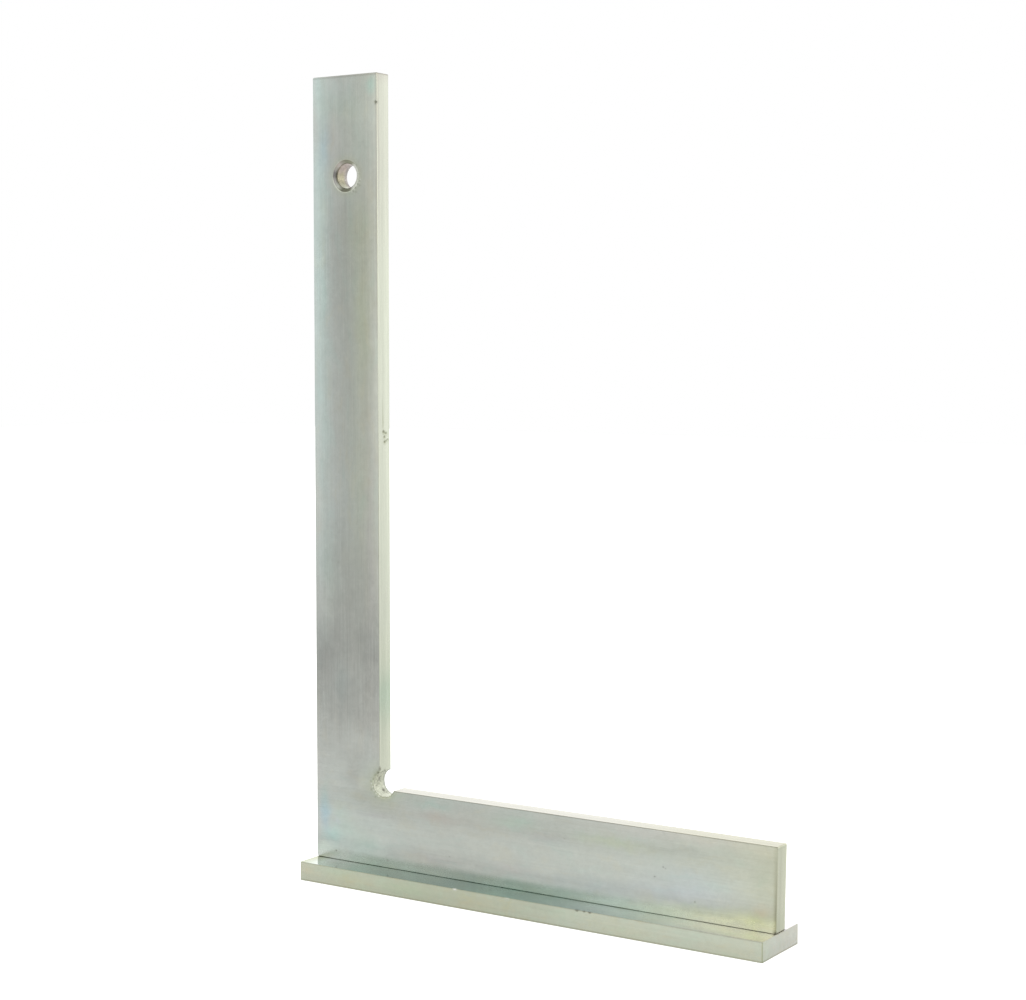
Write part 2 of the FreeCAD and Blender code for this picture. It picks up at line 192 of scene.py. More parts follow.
def foot_outline():
    """A rounded rectangle in x and y."""
    r, left, right = CORNER_R, FOOT_LO.x, FOOT_HI.x
    out = Outline([(nick[0], FOOT_FRONT, nick[1]) for nick in NICKS])
    out.corner(left + r, FOOT_FRONT + r, 180)
    out.run((left + r, FOOT_FRONT), (right - r, FOOT_FRONT))
    out.corner(right - r, FOOT_FRONT + r, -90)
    out.run((right, FOOT_FRONT + r), (right, FOOT_BACK - r))
    out.corner(right - r, FOOT_BACK - r, 0)
    out.run((right - r, FOOT_BACK), (left + r, FOOT_BACK))
    out.corner(left + r, FOOT_BACK - r, 90)
    out.run((left, FOOT_BACK - r), (left, FOOT_FRONT + r))
    return out


# ------------------------------------------------------------------ mesh tools
def wobble(x, y, z):
    """Smooth repeatable noise, about -1 to 1."""
    return noise.noise(Vector((x, y, z)))


def inside(points, loop):
    """Which 2-D points lie inside a closed loop."""
    pts, starts = np.asarray(points, float), np.asarray(loop, float)
    hit = np.zeros(len(pts), bool)
    for (x0, y0), (x1, y1) in zip(starts, np.roll(starts, -1, axis=0)):
        if y0 == y1:
            continue
        cross = (pts[:, 1] > min(y0, y1)) & (pts[:, 1] <= max(y0, y1))
        x = x0 + (pts[:, 1] - y0) * (x1 - x0) / (y1 - y0)
        hit ^= cross & (pts[:, 0] < x)
    return hit


def miters(loop):
    """Inward offset at each point of a counter-clockwise loop, one unit from both its edges."""
    along = np.roll(loop, -1, axis=0) - loop
    along /= np.linalg.norm(along, axis=1)[:, None]
    after = np.stack([-along[:, 1], along[:, 0]], axis=1)
    before = np.roll(after, 1, axis=0)
    return (before + after) / (1.0 + (before * after).sum(axis=1))[:, None]


def ring_faces(rows, flip=False):
    faces = []
    for upper, lower in zip(rows, rows[1:]):
        for i in range(len(upper)):
            j = (i + 1) % len(upper)
            quad = (upper[i], lower[i], lower[j], upper[j])
            faces.append(quad[::-1] if flip else quad)
    return faces


def distance_2d(points, circle):
    return np.hypot(points[:, 0] - circle[0], points[:, 1] - circle[1])


def fill_points(rim, limit, marks, circle):
    """Points inside a flat face: a jittered grid, with rings of points round each mark."""
    pitch, start, jitter = 1.6, 0.7, 0.13
    low, high = rim.min(0), rim.max(0)
    pts = np.array([(x + jitter * ((j % 3) - 1), y + jitter * ((i % 3) - 1))
                    for i, x in enumerate(np.arange(low[0] + start, high[0], pitch))
                    for j, y in enumerate(np.arange(low[1] + start, high[1], pitch))])
    for mark in marks:
        x, y, radius = mark
        around = [(x, y)]
        for ratio, count in ((0.3, 8), (0.6, 12), (0.9, 16), (1.2, 18), (1.7, 20)):
            for i in range(count):
                angle = 2 * math.pi * i / count + ratio
                around.append((x + radius * ratio * math.cos(angle),
                               y + radius * ratio * math.sin(angle)))
        pts = np.vstack([pts[distance_2d(pts, mark) > 1.9 * radius], around])
    keep = inside(pts, limit)
    if circle:
        keep &= distance_2d(pts, circle) > circle[2] + 0.3
    return pts[keep]


def flat_faces(rim, rim_ids, circle, circle_ids, pts, first_id):
    """Triangles between a rim and an optional round hole, through the given points."""
    coords = [tuple(point) for point in rim]
    ids = list(rim_ids) + list(circle_ids)
    edges = [(i, (i + 1) % len(rim)) for i in range(len(rim))]
    count = len(circle_ids)
    if circle:
        x, y, radius = circle
        edges += [(len(rim) + i, len(rim) + (i + 1) % count) for i in range(count)]
        coords += [(x + radius * math.cos(2 * math.pi * i / count),
                    y + radius * math.sin(2 * math.pi * i / count)) for i in range(count)]
    coords += [tuple(point) for point in pts]
    ids += range(first_id, first_id + len(pts))
    found, _, triangles, origin, _, _ = delaunay_2d_cdt(
        [Vector(c) for c in coords], edges, [], 0, 1e-7)
    mids = np.array([[sum(found[i].x for i in tri) / 3, sum(found[i].y for i in tri) / 3]
                     for tri in triangles])
    good = inside(mids, rim)
    if circle:
        good &= distance_2d(mids, circle) > radius * math.cos(math.pi / count)
    return [tuple(ids[origin[i][0]] for i in tri) for tri, ok in zip(triangles, good) if ok]


def plate(outline, thick, place, wear_seed, hole=None, marks=()):
    """A flat plate with a worn, rounded break along its whole outline.

    place(a, b, depth) puts the outline's (a, b) at a depth below the first face.
    hole is ((a, b), [(radius, depth), ...]) from the first face to the last.
    marks are (a, b, radius) places that need a finer mesh on the first face.
    """
    loop = np.array(outline.points)
    inward = miters(loop)
    steps = np.linalg.norm(np.roll(loop, -1, axis=0) - loop, axis=1)
    along = np.concatenate([[0], np.cumsum(steps)])[:-1]
    flush = np.zeros(len(loop))
    verts, rows, hole_rows = [], [], []

    def worn(side):
        return np.array(outline.breaks) * np.array(
            [1.0 + 0.22 * wobble(s / 9.0, side, wear_seed)
             + 0.14 * wobble(s / 1.7, side + 7.0, wear_seed) for s in along])

    def add_row(inset, depth):
        rows.append(list(range(len(verts), len(verts) + len(loop))))
        for point, direction, shift, deep in zip(loop, inward, inset, depth):
            verts.append(place(*(point + direction * shift), deep))

    first, last = worn(1.3), worn(5.9)
    flat_rim = 0.10                               # flat strip between the break and the fill
    turns = [math.radians(angle) for angle in range(0, 91, 18)]
    add_row(first + flat_rim, flush)
    for turn in turns:
        add_row(first * (1 - math.sin(turn)), first * (1 - math.cos(turn)))
    sides = max(6, int(round(thick / 0.17)))
    for k in range(1, sides):
        add_row(flush, first + (thick - last - first) * k / sides)
    for turn in reversed(turns):
        add_row(last * (1 - math.sin(turn)), thick - last * (1 - math.cos(turn)))
    add_row(last + flat_rim, np.full(len(loop), thick))
    faces = ring_faces(rows)

    if hole:
        (x, y), profile = hole
        count = 128
        for k, (radius, depth) in enumerate(profile):
            hole_rows.append(list(range(len(verts), len(verts) + count)))
            for i in range(count):
                c, s = math.cos(2 * math.pi * i / count), math.sin(2 * math.pi * i / count)
                rough = radius
                if k not in (0, len(profile) - 1):
                    rough += 0.012 * wobble(c * 2.1, s * 2.1, depth * 1.7 + 3.0)
                verts.append(place(x + rough * c, y + rough * s, depth))
        faces += ring_faces(hole_rows, flip=True)

    for end, inset, depth, near in ((0, first, 0.0, marks), (-1, last, thick, ())):
        inset = inset + flat_rim
        rim = loop + inward * inset[:, None]
        limit = loop + inward * (inset + 0.12)[:, None]
        circle = (*hole[0], hole[1][end][0]) if hole else None
        pts = fill_points(rim, limit, near, circle)
        triangles = flat_faces(rim, rows[end], circle, hole_rows[end] if hole else (),
                               pts, len(verts))
        verts += [place(a, b, depth) for a, b in pts]
        faces += triangles if end == 0 else [tri[::-1] for tri in triangles]
    return np.array(verts, float), faces


def dent(verts, centre, radius, depth, toward, stretch=(1.0, 1.0, 1.0), rim=0.18):
    """Pushes the surface in around a place and lifts a faint burr round it."""
    direction = np.array(toward, float)
    direction /= np.linalg.norm(direction)
    away = np.linalg.norm((verts - np.array(centre, float)) / np.array(stretch, float), axis=1)
    away /= radius
    push = np.where(away < 1, (1 - away ** 2) ** 2, 0.0)
    push -= rim * np.exp(-((away - 1.15) / 0.22) ** 2)
    push[away > 1.9] = 0.0
    verts += np.outer(push * depth, direction)


def to_object(name, verts, faces):
    mesh = bpy.data.meshes.new(name)
    mesh.from_pydata((verts * MM).tolist(), [], faces)
    bm = bmesh.new()
    bm.from_mesh(mesh)
    bmesh.ops.remove_doubles(bm, verts=bm.verts, dist=1e-7)
    bmesh.ops.recalc_face_normals(bm, faces=bm.faces)
    bm.to_mesh(mesh)
    bm.free()
    return link_object(name, mesh)


def link_object(name, data):
    obj = bpy.data.objects.new(name, data)
    bpy.context.scene.collection.objects.link(obj)
    return obj


def lathe(bm, x, y, profile, count):
    """A closed solid about a vertical axis, from (radius, height) points with ends on the axis."""
    rows = []
    for radius, z in profile:
        if radius == 0:
            rows.append([bm.verts.new((x * MM, y * MM, z * MM))])
            continue
        angles = [2 * math.pi * (i + 0.37) / count for i in range(count)]
        rows.append([bm.verts.new(((x + radius * math.cos(angle)) * MM,
                                   (y + radius * math.sin(angle)) * MM, z * MM))
                     for angle in angles])
    for lower, upper in zip(rows, rows[1:]):
        for i in range(count):
            j = (i + 1) % count
            if len(lower) == 1:
                bm.faces.new((lower[0], upper[i], upper[j]))
            elif len(upper) == 1:
                bm.faces.new((lower[i], upper[0], lower[j]))
            else:
                bm.faces.new((lower[i], upper[i], upper[j], lower[j]))


def cut(obj, build):
    """Cuts the solid made by build(bm) out of obj for good."""
    bm = bmesh.new()
    build(bm)
    bmesh.ops.recalc_face_normals(bm, faces=bm.faces)
    mesh = bpy.data.meshes.new("cutter")
    bm.to_mesh(mesh)
    bm.free()
    tool = link_object("cutter", mesh)
    mod = obj.modifiers.new("cut", "BOOLEAN")
    mod.operation, mod.solver, mod.object = "DIFFERENCE", "EXACT", tool
    bpy.context.view_layer.update()
    evaluated = obj.evaluated_get(bpy.context.evaluated_depsgraph_get())
    done = bpy.data.meshes.new_from_object(evaluated)
    obj.modifiers.clear()
    old = obj.data
    obj.data = done
    done.name = obj.name
    bpy.data.meshes.remove(old)
    bpy.data.objects.remove(tool)
    bpy.data.meshes.remove(mesh)


def finish_mesh(obj):
    obj.data.shade_smooth()
    obj.data.set_sharp_from_angle(angle=math.radians(33.0))
    mod = obj.modifiers.new("face_weighted", "WEIGHTED_NORMAL")
    mod.mode, mod.weight, mod.keep_sharp = "FACE_AREA", 60, True


def axis_of(node):
    """The x and y of a fastener's vertical axis."""
    low, high = [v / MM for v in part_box(node)]
    return (low.x + high.x) / 2, (low.y + high.y) / 2


def drill(bm, nodes, profile, count=48):
    for node in nodes:
        lathe(bm, *axis_of(node), profile, count)


# ------------------------------------------------------------------ the blade
def bore_profile():
    """The hanging hole from front to back, as radius and depth."""
    r, cone_r = HANG_R, HANG_R + CONE_W
    wall_top, wall_low = CONE_DEPTH + 0.10, 5.62
    cone_top = 0.045
    bore = [(cone_r + 0.42, 0.0), (cone_r + 0.16, 0.0), (cone_r + 0.06, 0.012),
            (cone_r - 0.02, cone_top)]
    bore += [(r + (CONE_W - 0.02) * (1 - k / 8), cone_top + (CONE_DEPTH - cone_top) * k / 8)
             for k in range(1, 8)]
    bore += [(r + 0.05, CONE_DEPTH - 0.02), (r + 0.008, CONE_DEPTH + 0.02), (r, wall_top)]
    bore += [(r, wall_top + (wall_low - wall_top) * k / 20) for k in range(1, 21)]
    return bore + [(r + 0.02, 5.72), (r + 0.28, 5.98), (r + 0.34, 6.0), (r + 0.52, 6.0)]


def roughen_relief(verts):
    """Makes the relief's wall coarse, and less so at its two rims."""
    away = np.hypot(verts[:, 0] - RELIEF_X, verts[:, 2] - RELIEF_Z)
    for i in np.where(np.abs(away - RELIEF_R) < 0.32)[0]:
        x, y, z = verts[i]
        if z > RELIEF_Z + RELIEF_REACH - 0.1 or x > RELIEF_X + RELIEF_REACH - 0.1:
            continue
        angle = math.atan2(z - RELIEF_Z, x - RELIEF_X)
        push = (0.085 * wobble(angle * 6.0, y * 0.8, 11.0)
                + 0.060 * wobble(angle * 15.0, y * 2.1, 4.0)
                + 0.030 * wobble(angle * 34.0, y * 5.0, 8.0))
        edge = min(1.0, max(0.0, min(y - Y_FRONT, Y_BACK - y) / 0.5))
        push *= 0.35 + 0.65 * edge
        verts[i, 0] += math.cos(angle) * push
        verts[i, 2] += math.sin(angle) * push


def dent_blade(verts):
    for x, z, radius, depth in FRONT_MARKS:
        dent(verts, (x, Y_FRONT, z), radius, depth, (0, 1, 0), rim=0.06)
    for y, z, radius, depth in INNER_MARKS:
        dent(verts, (INNER_X, y, z), radius, depth, (-1, 0, 0), stretch=(1, 1, 1.25))
    for x, y, z, radius, depth in JUNCTION_MARKS:
        dent(verts, (x, y, z), radius, depth, (-1, 0, 0.2), stretch=(1, 0.8, 1.6))
    # a long shallow scratch up the inner edge
    dent(verts, (INNER_X, -0.1, 149.0), 0.30, 0.07, (-1, 0, 0), stretch=(1, 1, 22.0), rim=0.1)
    for angle, y, radius, depth in RELIEF_MARKS:
        c, s = math.cos(math.radians(angle)), math.sin(math.radians(angle))
        dent(verts, (RELIEF_X + RELIEF_R * c, y, RELIEF_Z + RELIEF_R * s), radius, depth,
             (c, 0, s))


def blade_holes(bm):
    """Blind holes with pointed ends, up from the blade's bottom."""
    drill(bm, SCREWS, [(0, 4.0), (1.53, 4.0), (1.53, 14.9), (0, 15.8)])
    drill(bm, PINS, [(0, 4.0), (1.51, 4.0), (1.51, 13.4), (0, 14.3)])


def make_blade():
    verts, faces = plate(
        blade_outline(), THICK, lambda a, b, depth: (a, Y_FRONT + depth, b), wear_seed=2.0,
        hole=((HANG_X, HANG_Z), bore_profile()), marks=[mark[:3] for mark in FRONT_MARKS])
    roughen_relief(verts)
    dent_blade(verts)
    obj = to_object("blade_plate", verts, faces)
    cut(obj, blade_holes)
    finish_mesh(obj)
    return obj


# ------------------------------------------------------------------ the foot
def seat_solid(bm):
    """The shallow seat along the foot's top that the blade stands in."""
    low = (FOOT_LO.x - 2, Y_FRONT - SEAT_GAP, Z_SEAT)
    high = (FOOT_HI.x + 2, Y_BACK + SEAT_GAP, Z_LEDGE + 1.3)
    for v in bmesh.ops.create_cube(bm, size=1.0)["verts"]:
        v.co = Vector([(low[i] if v.co[i] < 0 else high[i]) * MM for i in range(3)])


def foot_holes(bm):
    """Through holes, countersunk from below for the screws."""
    screw = [(0, -0.7), (4.0, -0.7), (3.3, 0.0), (1.7, 1.6), (1.7, 7.0), (0, 7.0)]
    drill(bm, SCREWS, screw, 72)
    drill(bm, PINS, [(0, -0.7), (1.51, -0.7), (1.51, 7.0), (0, 7.0)])


def make_foot():
    verts, faces = plate(foot_outline(), Z_LEDGE, lambda a, b, depth: (a, b, Z_LEDGE - depth),
                         wear_seed=9.0)
    for x, radius, depth, _, _ in NICKS:
        dent(verts, (x, FOOT_FRONT + 0.08, Z_LEDGE - 0.08), radius, depth, (0, 1, -1),
             stretch=(1.5, 1, 1))
    obj = to_object("foot_bar", verts, faces)
    cut(obj, seat_solid)
    cut(obj, foot_holes)
    finish_mesh(obj)
    return obj


# ------------------------------------------------------------------ shader tools
def add_node(tree, kind, inputs=(), **props):
    """Adds a node.  inputs are numbers, colours, sockets or Values, in order or by key."""
    node = tree.nodes.new(kind)
    for key, value in props.items():
        setattr(node, key, value)
    for key, value in inputs.items() if isinstance(inputs, dict) else enumerate(inputs):
        socket = node.inputs[key]
        if isinstance(value, Value):
            value = value.socket
        if isinstance(value, bpy.types.NodeSocket):
            tree.links.new(value, socket)
        else:
            if socket.type == "RGBA" and len(value) == 3:
                value = (*value, 1.0)
            socket.default_value = value
    return node


def result(kind, inputs, output=0, **props):
    """Adds a node to the tree its inputs are on, and gives one of its outputs."""
    values = inputs.values() if isinstance(inputs, dict) else inputs
    tree = next(value.tree for value in values if isinstance(value, Value))
    return Value(tree, add_node(tree, kind, inputs, **props).outputs[output])


def calculate(operation, *inputs, clamp=False):
    return result("ShaderNodeMath", inputs, operation=operation, use_clamp=clamp)


def combine(x, y, z):
    return result("ShaderNodeCombineXYZ", (x, y, z))


def blend(amount, under, over, mode="MIX"):
    return result("ShaderNodeMix", {0: amount, 6: under, 7: over}, output=2, data_type="RGBA",
                  blend_type=mode, clamp_result=False, clamp_factor=True)


class Value:
    """A node's output, with the arithmetic, noises and blends that are built on it."""

    def __init__(self, tree, socket):
        self.tree, self.socket = tree, socket

    def __add__(self, other):
        return calculate("ADD", self, other)

    def __radd__(self, other):
        return calculate("ADD", other, self)

    def __sub__(self, other):
        return calculate("SUBTRACT", self, other)

    def __rsub__(self, other):
        return calculate("SUBTRACT", other, self)

    def __mul__(self, other):
        return calculate("MULTIPLY", self, other)

    def __truediv__(self, other):
        return calculate("DIVIDE", self, other)

    def __abs__(self):
        return calculate("ABSOLUTE", self)

    def swing(self, amount):
        """A 0-to-1 noise centred on zero and scaled."""
        return (self - 0.5) * amount

    def vector(self, operation, *others):
        number = operation in ("DISTANCE", "DOT_PRODUCT", "LENGTH")
        return result("ShaderNodeVectorMath", (self, *others), output=int(number),
                      operation=operation)

    def distance(self, *centre):
        return self.vector("DISTANCE", centre)

    def scaled(self, amount):
        return result("ShaderNodeVectorMath", {0: self, 3: amount}, operation="SCALE")

    def xyz(self):
        node = add_node(self.tree, "ShaderNodeSeparateXYZ", (self,))
        return [Value(self.tree, output) for output in node.outputs]

    def noise(self, scale=1.0, detail=3.0, rough=0.6, warp=0.0, shift=None, stretch=None):
        """Noise at this position, which may first be shifted and then scaled per axis."""
        at = self
        if shift:
            at = at.vector("ADD", shift)
        if stretch:
            at = at.vector("MULTIPLY", stretch)
        return result("ShaderNodeTexNoise", {
            "Vector": at, "Scale": scale, "Detail": detail, "Roughness": rough,
            "Distortion": warp})

    def fade(self, start, end, low=0.0, high=1.0):
        """Smooth step from low at start to high at end."""
        return result("ShaderNodeMapRange", (self, start, end, low, high),
                      interpolation_type="SMOOTHSTEP")

    def spot(self, centre, radii):
        """A soft round patch: 1 in the middle, 0 well outside."""
        away = self.vector("SUBTRACT", centre).vector("DIVIDE", radii)
        return calculate("EXPONENT", away.vector("DOT_PRODUCT", away) * -1.0)

    def ramp(self, stops):
        """Colour ramp from (position, grey) or (position, r, g, b) stops."""
        node = add_node(self.tree, "ShaderNodeValToRGB", (self,))
        elements = node.color_ramp.elements
        while len(elements) < len(stops):
            elements.new(0.5)
        for element, (position, *rgb) in zip(elements, stops):
            element.position = position
            element.color = (*(rgb * 3 if len(rgb) == 1 else rgb), 1.0)
        return Value(self.tree, node.outputs[0])

    def mix(self, under, over):
        """under where this value is 0, over where it is 1."""
        return blend(self, under, over)

    def times(self, rgb):
        return blend(1.0, self, rgb, "MULTIPLY")

    def tints(self, *layers):
        """Multiplies this colour by each (amount, rgb) in turn."""
        coat = self
        for amount, rgb in layers:
            coat = amount.mix(coat, coat.times(rgb))
        return coat

    def covers(self, *layers):
        """Lays each (amount, rgb) over this colour in turn."""
        coat = self
        for amount, rgb in layers:
            coat = amount.mix(coat, rgb)
        return coat

    def bump(self, strength, depth_mm, under=None):
        inputs = {"Strength": strength, "Distance": depth_mm * MM, "Height": self}
        if under:
            inputs["Normal"] = under
        return result("ShaderNodeBump", inputs)


def node_value(tree, kind, output):
    return Value(tree, add_node(tree, kind).outputs[output])


def clear_tree(owner):
    owner.use_nodes = True
    owner.node_tree.nodes.clear()
    return owner.node_tree


def new_material(name):
    material = bpy.data.materials.new(name)
    return material, clear_tree(material)


def position_mm(tree):
    return node_value(tree, "ShaderNodeTexCoord", "Object").scaled(1.0 / MM)


def true_normal(tree):
    return node_value(tree, "ShaderNodeNewGeometry", "True Normal").xyz()


def finish_metal(tree, colour, rough, normal, metallic=1.0):
    shader = add_node(tree, "ShaderNodeBsdfPrincipled", {
        "Metallic": metallic, "Base Color": colour, "Roughness": rough, "Normal": normal})
    add_node(tree, "ShaderNodeOutputMaterial", (shader.outputs[0],))


JOINT_GRIME_AND_SHADE = (0.09, 0.10, 0.08)                        # dark grime and painted shade in the joint between blade and foot

# ------------------------------------------------------------------ the blade's material
ACROSS_LONG = [  # colours from the heel edge to the inner edge: position, r, g, b
    (0.00, 0.765, 0.845, 0.810), (0.07, 0.745, 0.835, 0.795), (0.17, 0.665, 0.735, 0.690),
    (0.30, 0.620, 0.655, 0.610), (0.48, 0.570, 0.600, 0.545), (0.66, 0.585, 0.620, 0.550),
    (0.82, 0.625, 0.650, 0.575), (0.93, 0.700, 0.725, 0.640), (1.00, 0.770, 0.800, 0.700)]
LONG_FLAT = (0.625, 0.641, 0.593)
ALONG_SHORT = [  # colours from heel to toe: position, r, g, b
    (0.00, 0.640, 0.670, 0.625), (0.12, 0.590, 0.640, 0.590), (0.30, 0.570, 0.598, 0.545),
    (0.50, 0.580, 0.612, 0.556), (0.72, 0.600, 0.636, 0.572), (0.88, 0.620, 0.655, 0.560),
    (1.00, 0.650, 0.670, 0.530)]
UP_SHORT = [  # brightness from the ledge to the top edge
    (0.00, 0.97), (0.04, 0.98), (0.10, 0.99), (0.15, 0.95), (0.21, 0.86), (0.36, 0.98),
    (0.55, 1.0), (0.74, 0.945), (0.92, 0.955), (1.00, 1.0)]
LOW_GLOW = [  # brightness of the lowest strip from heel to toe, before LOW_GLOW_GAIN
    (0.00, 0.60), (0.06, 0.58), (0.15, 0.54), (0.22, 0.585), (0.34, 0.535), (0.45, 0.475),
    (0.56, 0.54), (0.67, 0.625), (0.87, 0.64), (0.95, 0.645), (1.00, 0.70)]
LOW_GLOW_GAIN = 1.8
BLADE_PATCHES = [  # passivation colours on the front: x, z, radius in x, in z, r, g, b
    # long leg
    (-79.6, 205, 3, 62, 0.965, 1.015, 1.005), (-78.6, 234, 1.8, 6.5, 0.915, 0.98, 1.07),
    (-75.5, 240, 4, 12, 0.985, 0.955, 0.955), (-81.5, 185, 4, 45, 1.13, 1.12, 1.12),
    (-57.6, 160, 2, 26, 1.15, 1.15, 1.15), (-58, 96, 2, 14, 1.07, 1.07, 1.07),
    (-69, 205, 5.5, 16, 0.945, 0.945, 0.945), (-72, 248, 9, 7, 0.97, 1.03, 1.00),
    (-59.2, 252.2, 1.7, 2.2, 0.90, 1.07, 1.055), (-63.5, 208, 5, 9, 1.0, 1.0, 0.93),
    (-63, 180, 3.2, 22, 1.0, 1.02, 0.91), (-71.5, 192, 4, 20, 0.965, 0.965, 0.96),
    (-64, 128, 3.4, 16, 1.0, 1.0, 0.95), (-76.5, 96, 4, 14, 0.98, 1.03, 1.01),
    (-60.2, 110, 1.6, 30, 1.0, 0.975, 1.0), (-79, 70, 5, 9, 0.90, 0.89, 0.89),
    (-72, 64, 3, 7, 0.97, 1.01, 1.02), (-82, 122, 3, 20, 1.03, 0.97, 0.95),
    (-78.5, 90, 5, 9, 1.09, 1.04, 1.04), (-68.5, 122.5, 8, 13, 1.04, 1.055, 1.07),
    (-60, 75.4, 3.5, 6, 0.93, 0.935, 0.94), (-69.5, 58.5, 5.5, 7, 0.915, 0.915, 0.915),
    (-66, 45.5, 4, 4, 1.08, 1.10, 1.11), (-64.2, 33.2, 2, 2.6, 1.09, 1.09, 1.06),
    (-57.8, 34, 1.6, 2.4, 0.89, 0.90, 0.92), (-60, 241.7, 5, 6, 1.04, 1.07, 1.08),
    (-69, 252, 7, 5, 1.03, 1.02, 1.06), (-82, 241.7, 2, 8, 1.0, 0.94, 0.94),
    # heel corner: a blue spot in a teal column, and a green cloud drawn out along the foot
    (-78.9, 26, 1.5, 5, 0.935, 1.015, 0.995), (-79, 20.4, 1.9, 4.8, 0.85, 0.985, 1.12),
    (-76.4, 14, 4.6, 2.2, 0.905, 1.085, 1.08), (-73, 21, 3.8, 4, 0.975, 1.05, 1.03),
    (-69, 16.6, 5, 2.6, 0.965, 1.015, 0.99), (-62.5, 13, 5.5, 2.2, 0.95, 1.025, 1.0),
    (-73.6, 18.4, 1.8, 1.6, 1.0, 0.985, 1.045), (-80.4, 9, 3.4, 2.2, 1.12, 1.19, 1.14),
    (-69, 10.4, 9, 2.2, 1.05, 1.11, 1.10), (-66, 27.6, 4.2, 1.8, 0.955, 0.94, 0.905),
    (-68.6, 32.8, 4, 2.6, 0.92, 0.905, 0.90), (-59, 22.6, 6, 1, 0.965, 0.935, 0.955),
    (-82.2, 26, 0.7, 18, 1.05, 1.01, 1.03),
    # short leg
    (-37, 28.4, 6.5, 1.6, 0.93, 1.03, 1.015), (-35, 24.4, 7, 1.5, 1.01, 0.965, 0.97),
    (-6, 26.6, 8, 1.9, 0.945, 1.03, 0.98), (-24, 24.6, 22, 2.6, 0.985, 0.965, 0.955),
    (-36, 11, 8, 1.8, 1.015, 0.985, 1.0), (-9, 12, 9, 1.8, 1.02, 0.985, 0.995),
    (29, 25.2, 13, 1.7, 1.0, 1.01, 0.90), (50, 25.8, 11, 1.2, 0.915, 0.915, 0.925),
    (57, 16.8, 15, 5, 0.955, 0.985, 1.07), (66, 8.4, 22, 2.6, 1.13, 1.14, 1.03),
    (54, 12.5, 20, 3, 1.0, 1.0, 1.08), (75.6, 9, 3.6, 2.6, 0.945, 0.955, 0.86),
    (77.6, 11.8, 2.8, 1.3, 1.06, 0.975, 0.93), (78.5, 20, 3.4, 7, 0.95, 0.955, 0.94),
    (52, 30.2, 28, 2, 1.10, 1.05, 1.07), (-45.5, 30, 5, 2, 0.96, 0.94, 0.92),
    (6.5, 23.6, 8, 2, 0.94, 0.93, 0.95), (20, 11, 18, 3, 0.965, 1.0, 1.045),
    (-57.5, 12.8, 3, 3, 1.07, 1.06, 1.06), (25, 28.2, 8, 2, 1.06, 1.04, 1.03),
    (76, 29.2, 7, 2, 1.05, 1.04, 1.02),
]
ACROSS_EDGE = [  # brightness of the plate's edges from front to back
    (0.00, 0.97), (0.09, 0.98), (0.20, 0.915), (0.42, 0.905), (0.58, 0.95), (0.72, 0.995),
    (0.92, 1.0), (1.00, 0.96)]
BORE_WALL = [  # colours up the hanging hole's wall
    (0.00, 0.68, 0.70, 0.57), (0.12, 0.53, 0.53, 0.39), (0.30, 0.41, 0.385, 0.260),
    (0.55, 0.510, 0.475, 0.335), (0.74, 0.50, 0.43, 0.375), (1.00, 0.46, 0.385, 0.35)]
RELIEF_WALL = [  # colours of the relief's wall, from facing down to facing up, lighter facing up as painted shading
    (0.00, 0.46, 0.48, 0.36), (0.35, 0.50, 0.52, 0.40), (0.50, 0.47, 0.49, 0.385),
    (0.66, 0.56, 0.58, 0.46), (0.85, 0.64, 0.67, 0.54), (1.00, 0.70, 0.73, 0.59)]
INNER_STAINS = [  # on the inner edge: y, z, radius in y, in z, amount
    (0.45, 144.3, 0.75, 0.65, 0.45), (1.50, 143.9, 0.70, 0.60, 0.40),
    (0.70, 142.7, 0.60, 0.60, 0.45), (0.85, 141.2, 0.65, 0.55, 0.50),
    (2.00, 141.7, 0.80, 0.50, 0.35), (0.00, 147.4, 0.26, 2.4, 0.42),
    (-0.10, 151.5, 0.24, 3.2, 0.25)]
RELIEF_CHIPS = [  # chipped plating: x, z, radius, 1 for pale or 0 for dark
    (-58.7, 35.2, 0.50, 0), (-57.9, 36.1, 0.45, 0), (-59.5, 34.0, 0.40, 0),
    (-60.6, 33.2, 0.30, 0), (-59.8, 31.5, 0.30, 1), (-59.3, 30.3, 0.32, 1),
    (-57.5, 28.7, 0.34, 1), (-58.5, 29.4, 0.26, 1), (-60.3, 32.4, 0.24, 1),
    (-58.9, 28.3, 0.30, 0), (-60.5, 30.5, 0.28, 0)]
HANG_CHIPS = [  # the same, with x and z from the hanging hole's centre
    (4.3, -3.2, 0.28, 1), (5.2, -2.3, 0.26, 1), (3.4, -4.4, 0.28, 1), (2.5, -5.1, 0.24, 1),
    (5.8, -1.4, 0.22, 1), (4.8, -2.8, 0.24, 0), (3.8, -3.9, 0.26, 0), (2.9, -4.9, 0.24, 0),
    (5.4, -1.8, 0.20, 0), (4.2, 3.1, 0.30, 0), (4.0, -5.2, 0.24, 0), (5.6, -3.2, 0.24, 0)]
DIRT_AND_SHADE_SPOTS = [  # dirt in the relief, then painted shade at the toe's bottom corner against the foot: centre, radii, amount
    ((-58.5, 1.3, 29.9), (0.9, 0.5, 0.7), 0.85), ((-59.3, 0.4, 33.6), (0.5, 0.5, 0.8), 0.75),
    ((-59.5, -0.8, 31.6), (0.4, 0.4, 0.5), 0.5),
    ((TOE_X - 0.4, Y_FRONT, Z_LEDGE + 0.2), (0.7, 0.7, 0.55), 0.95)]


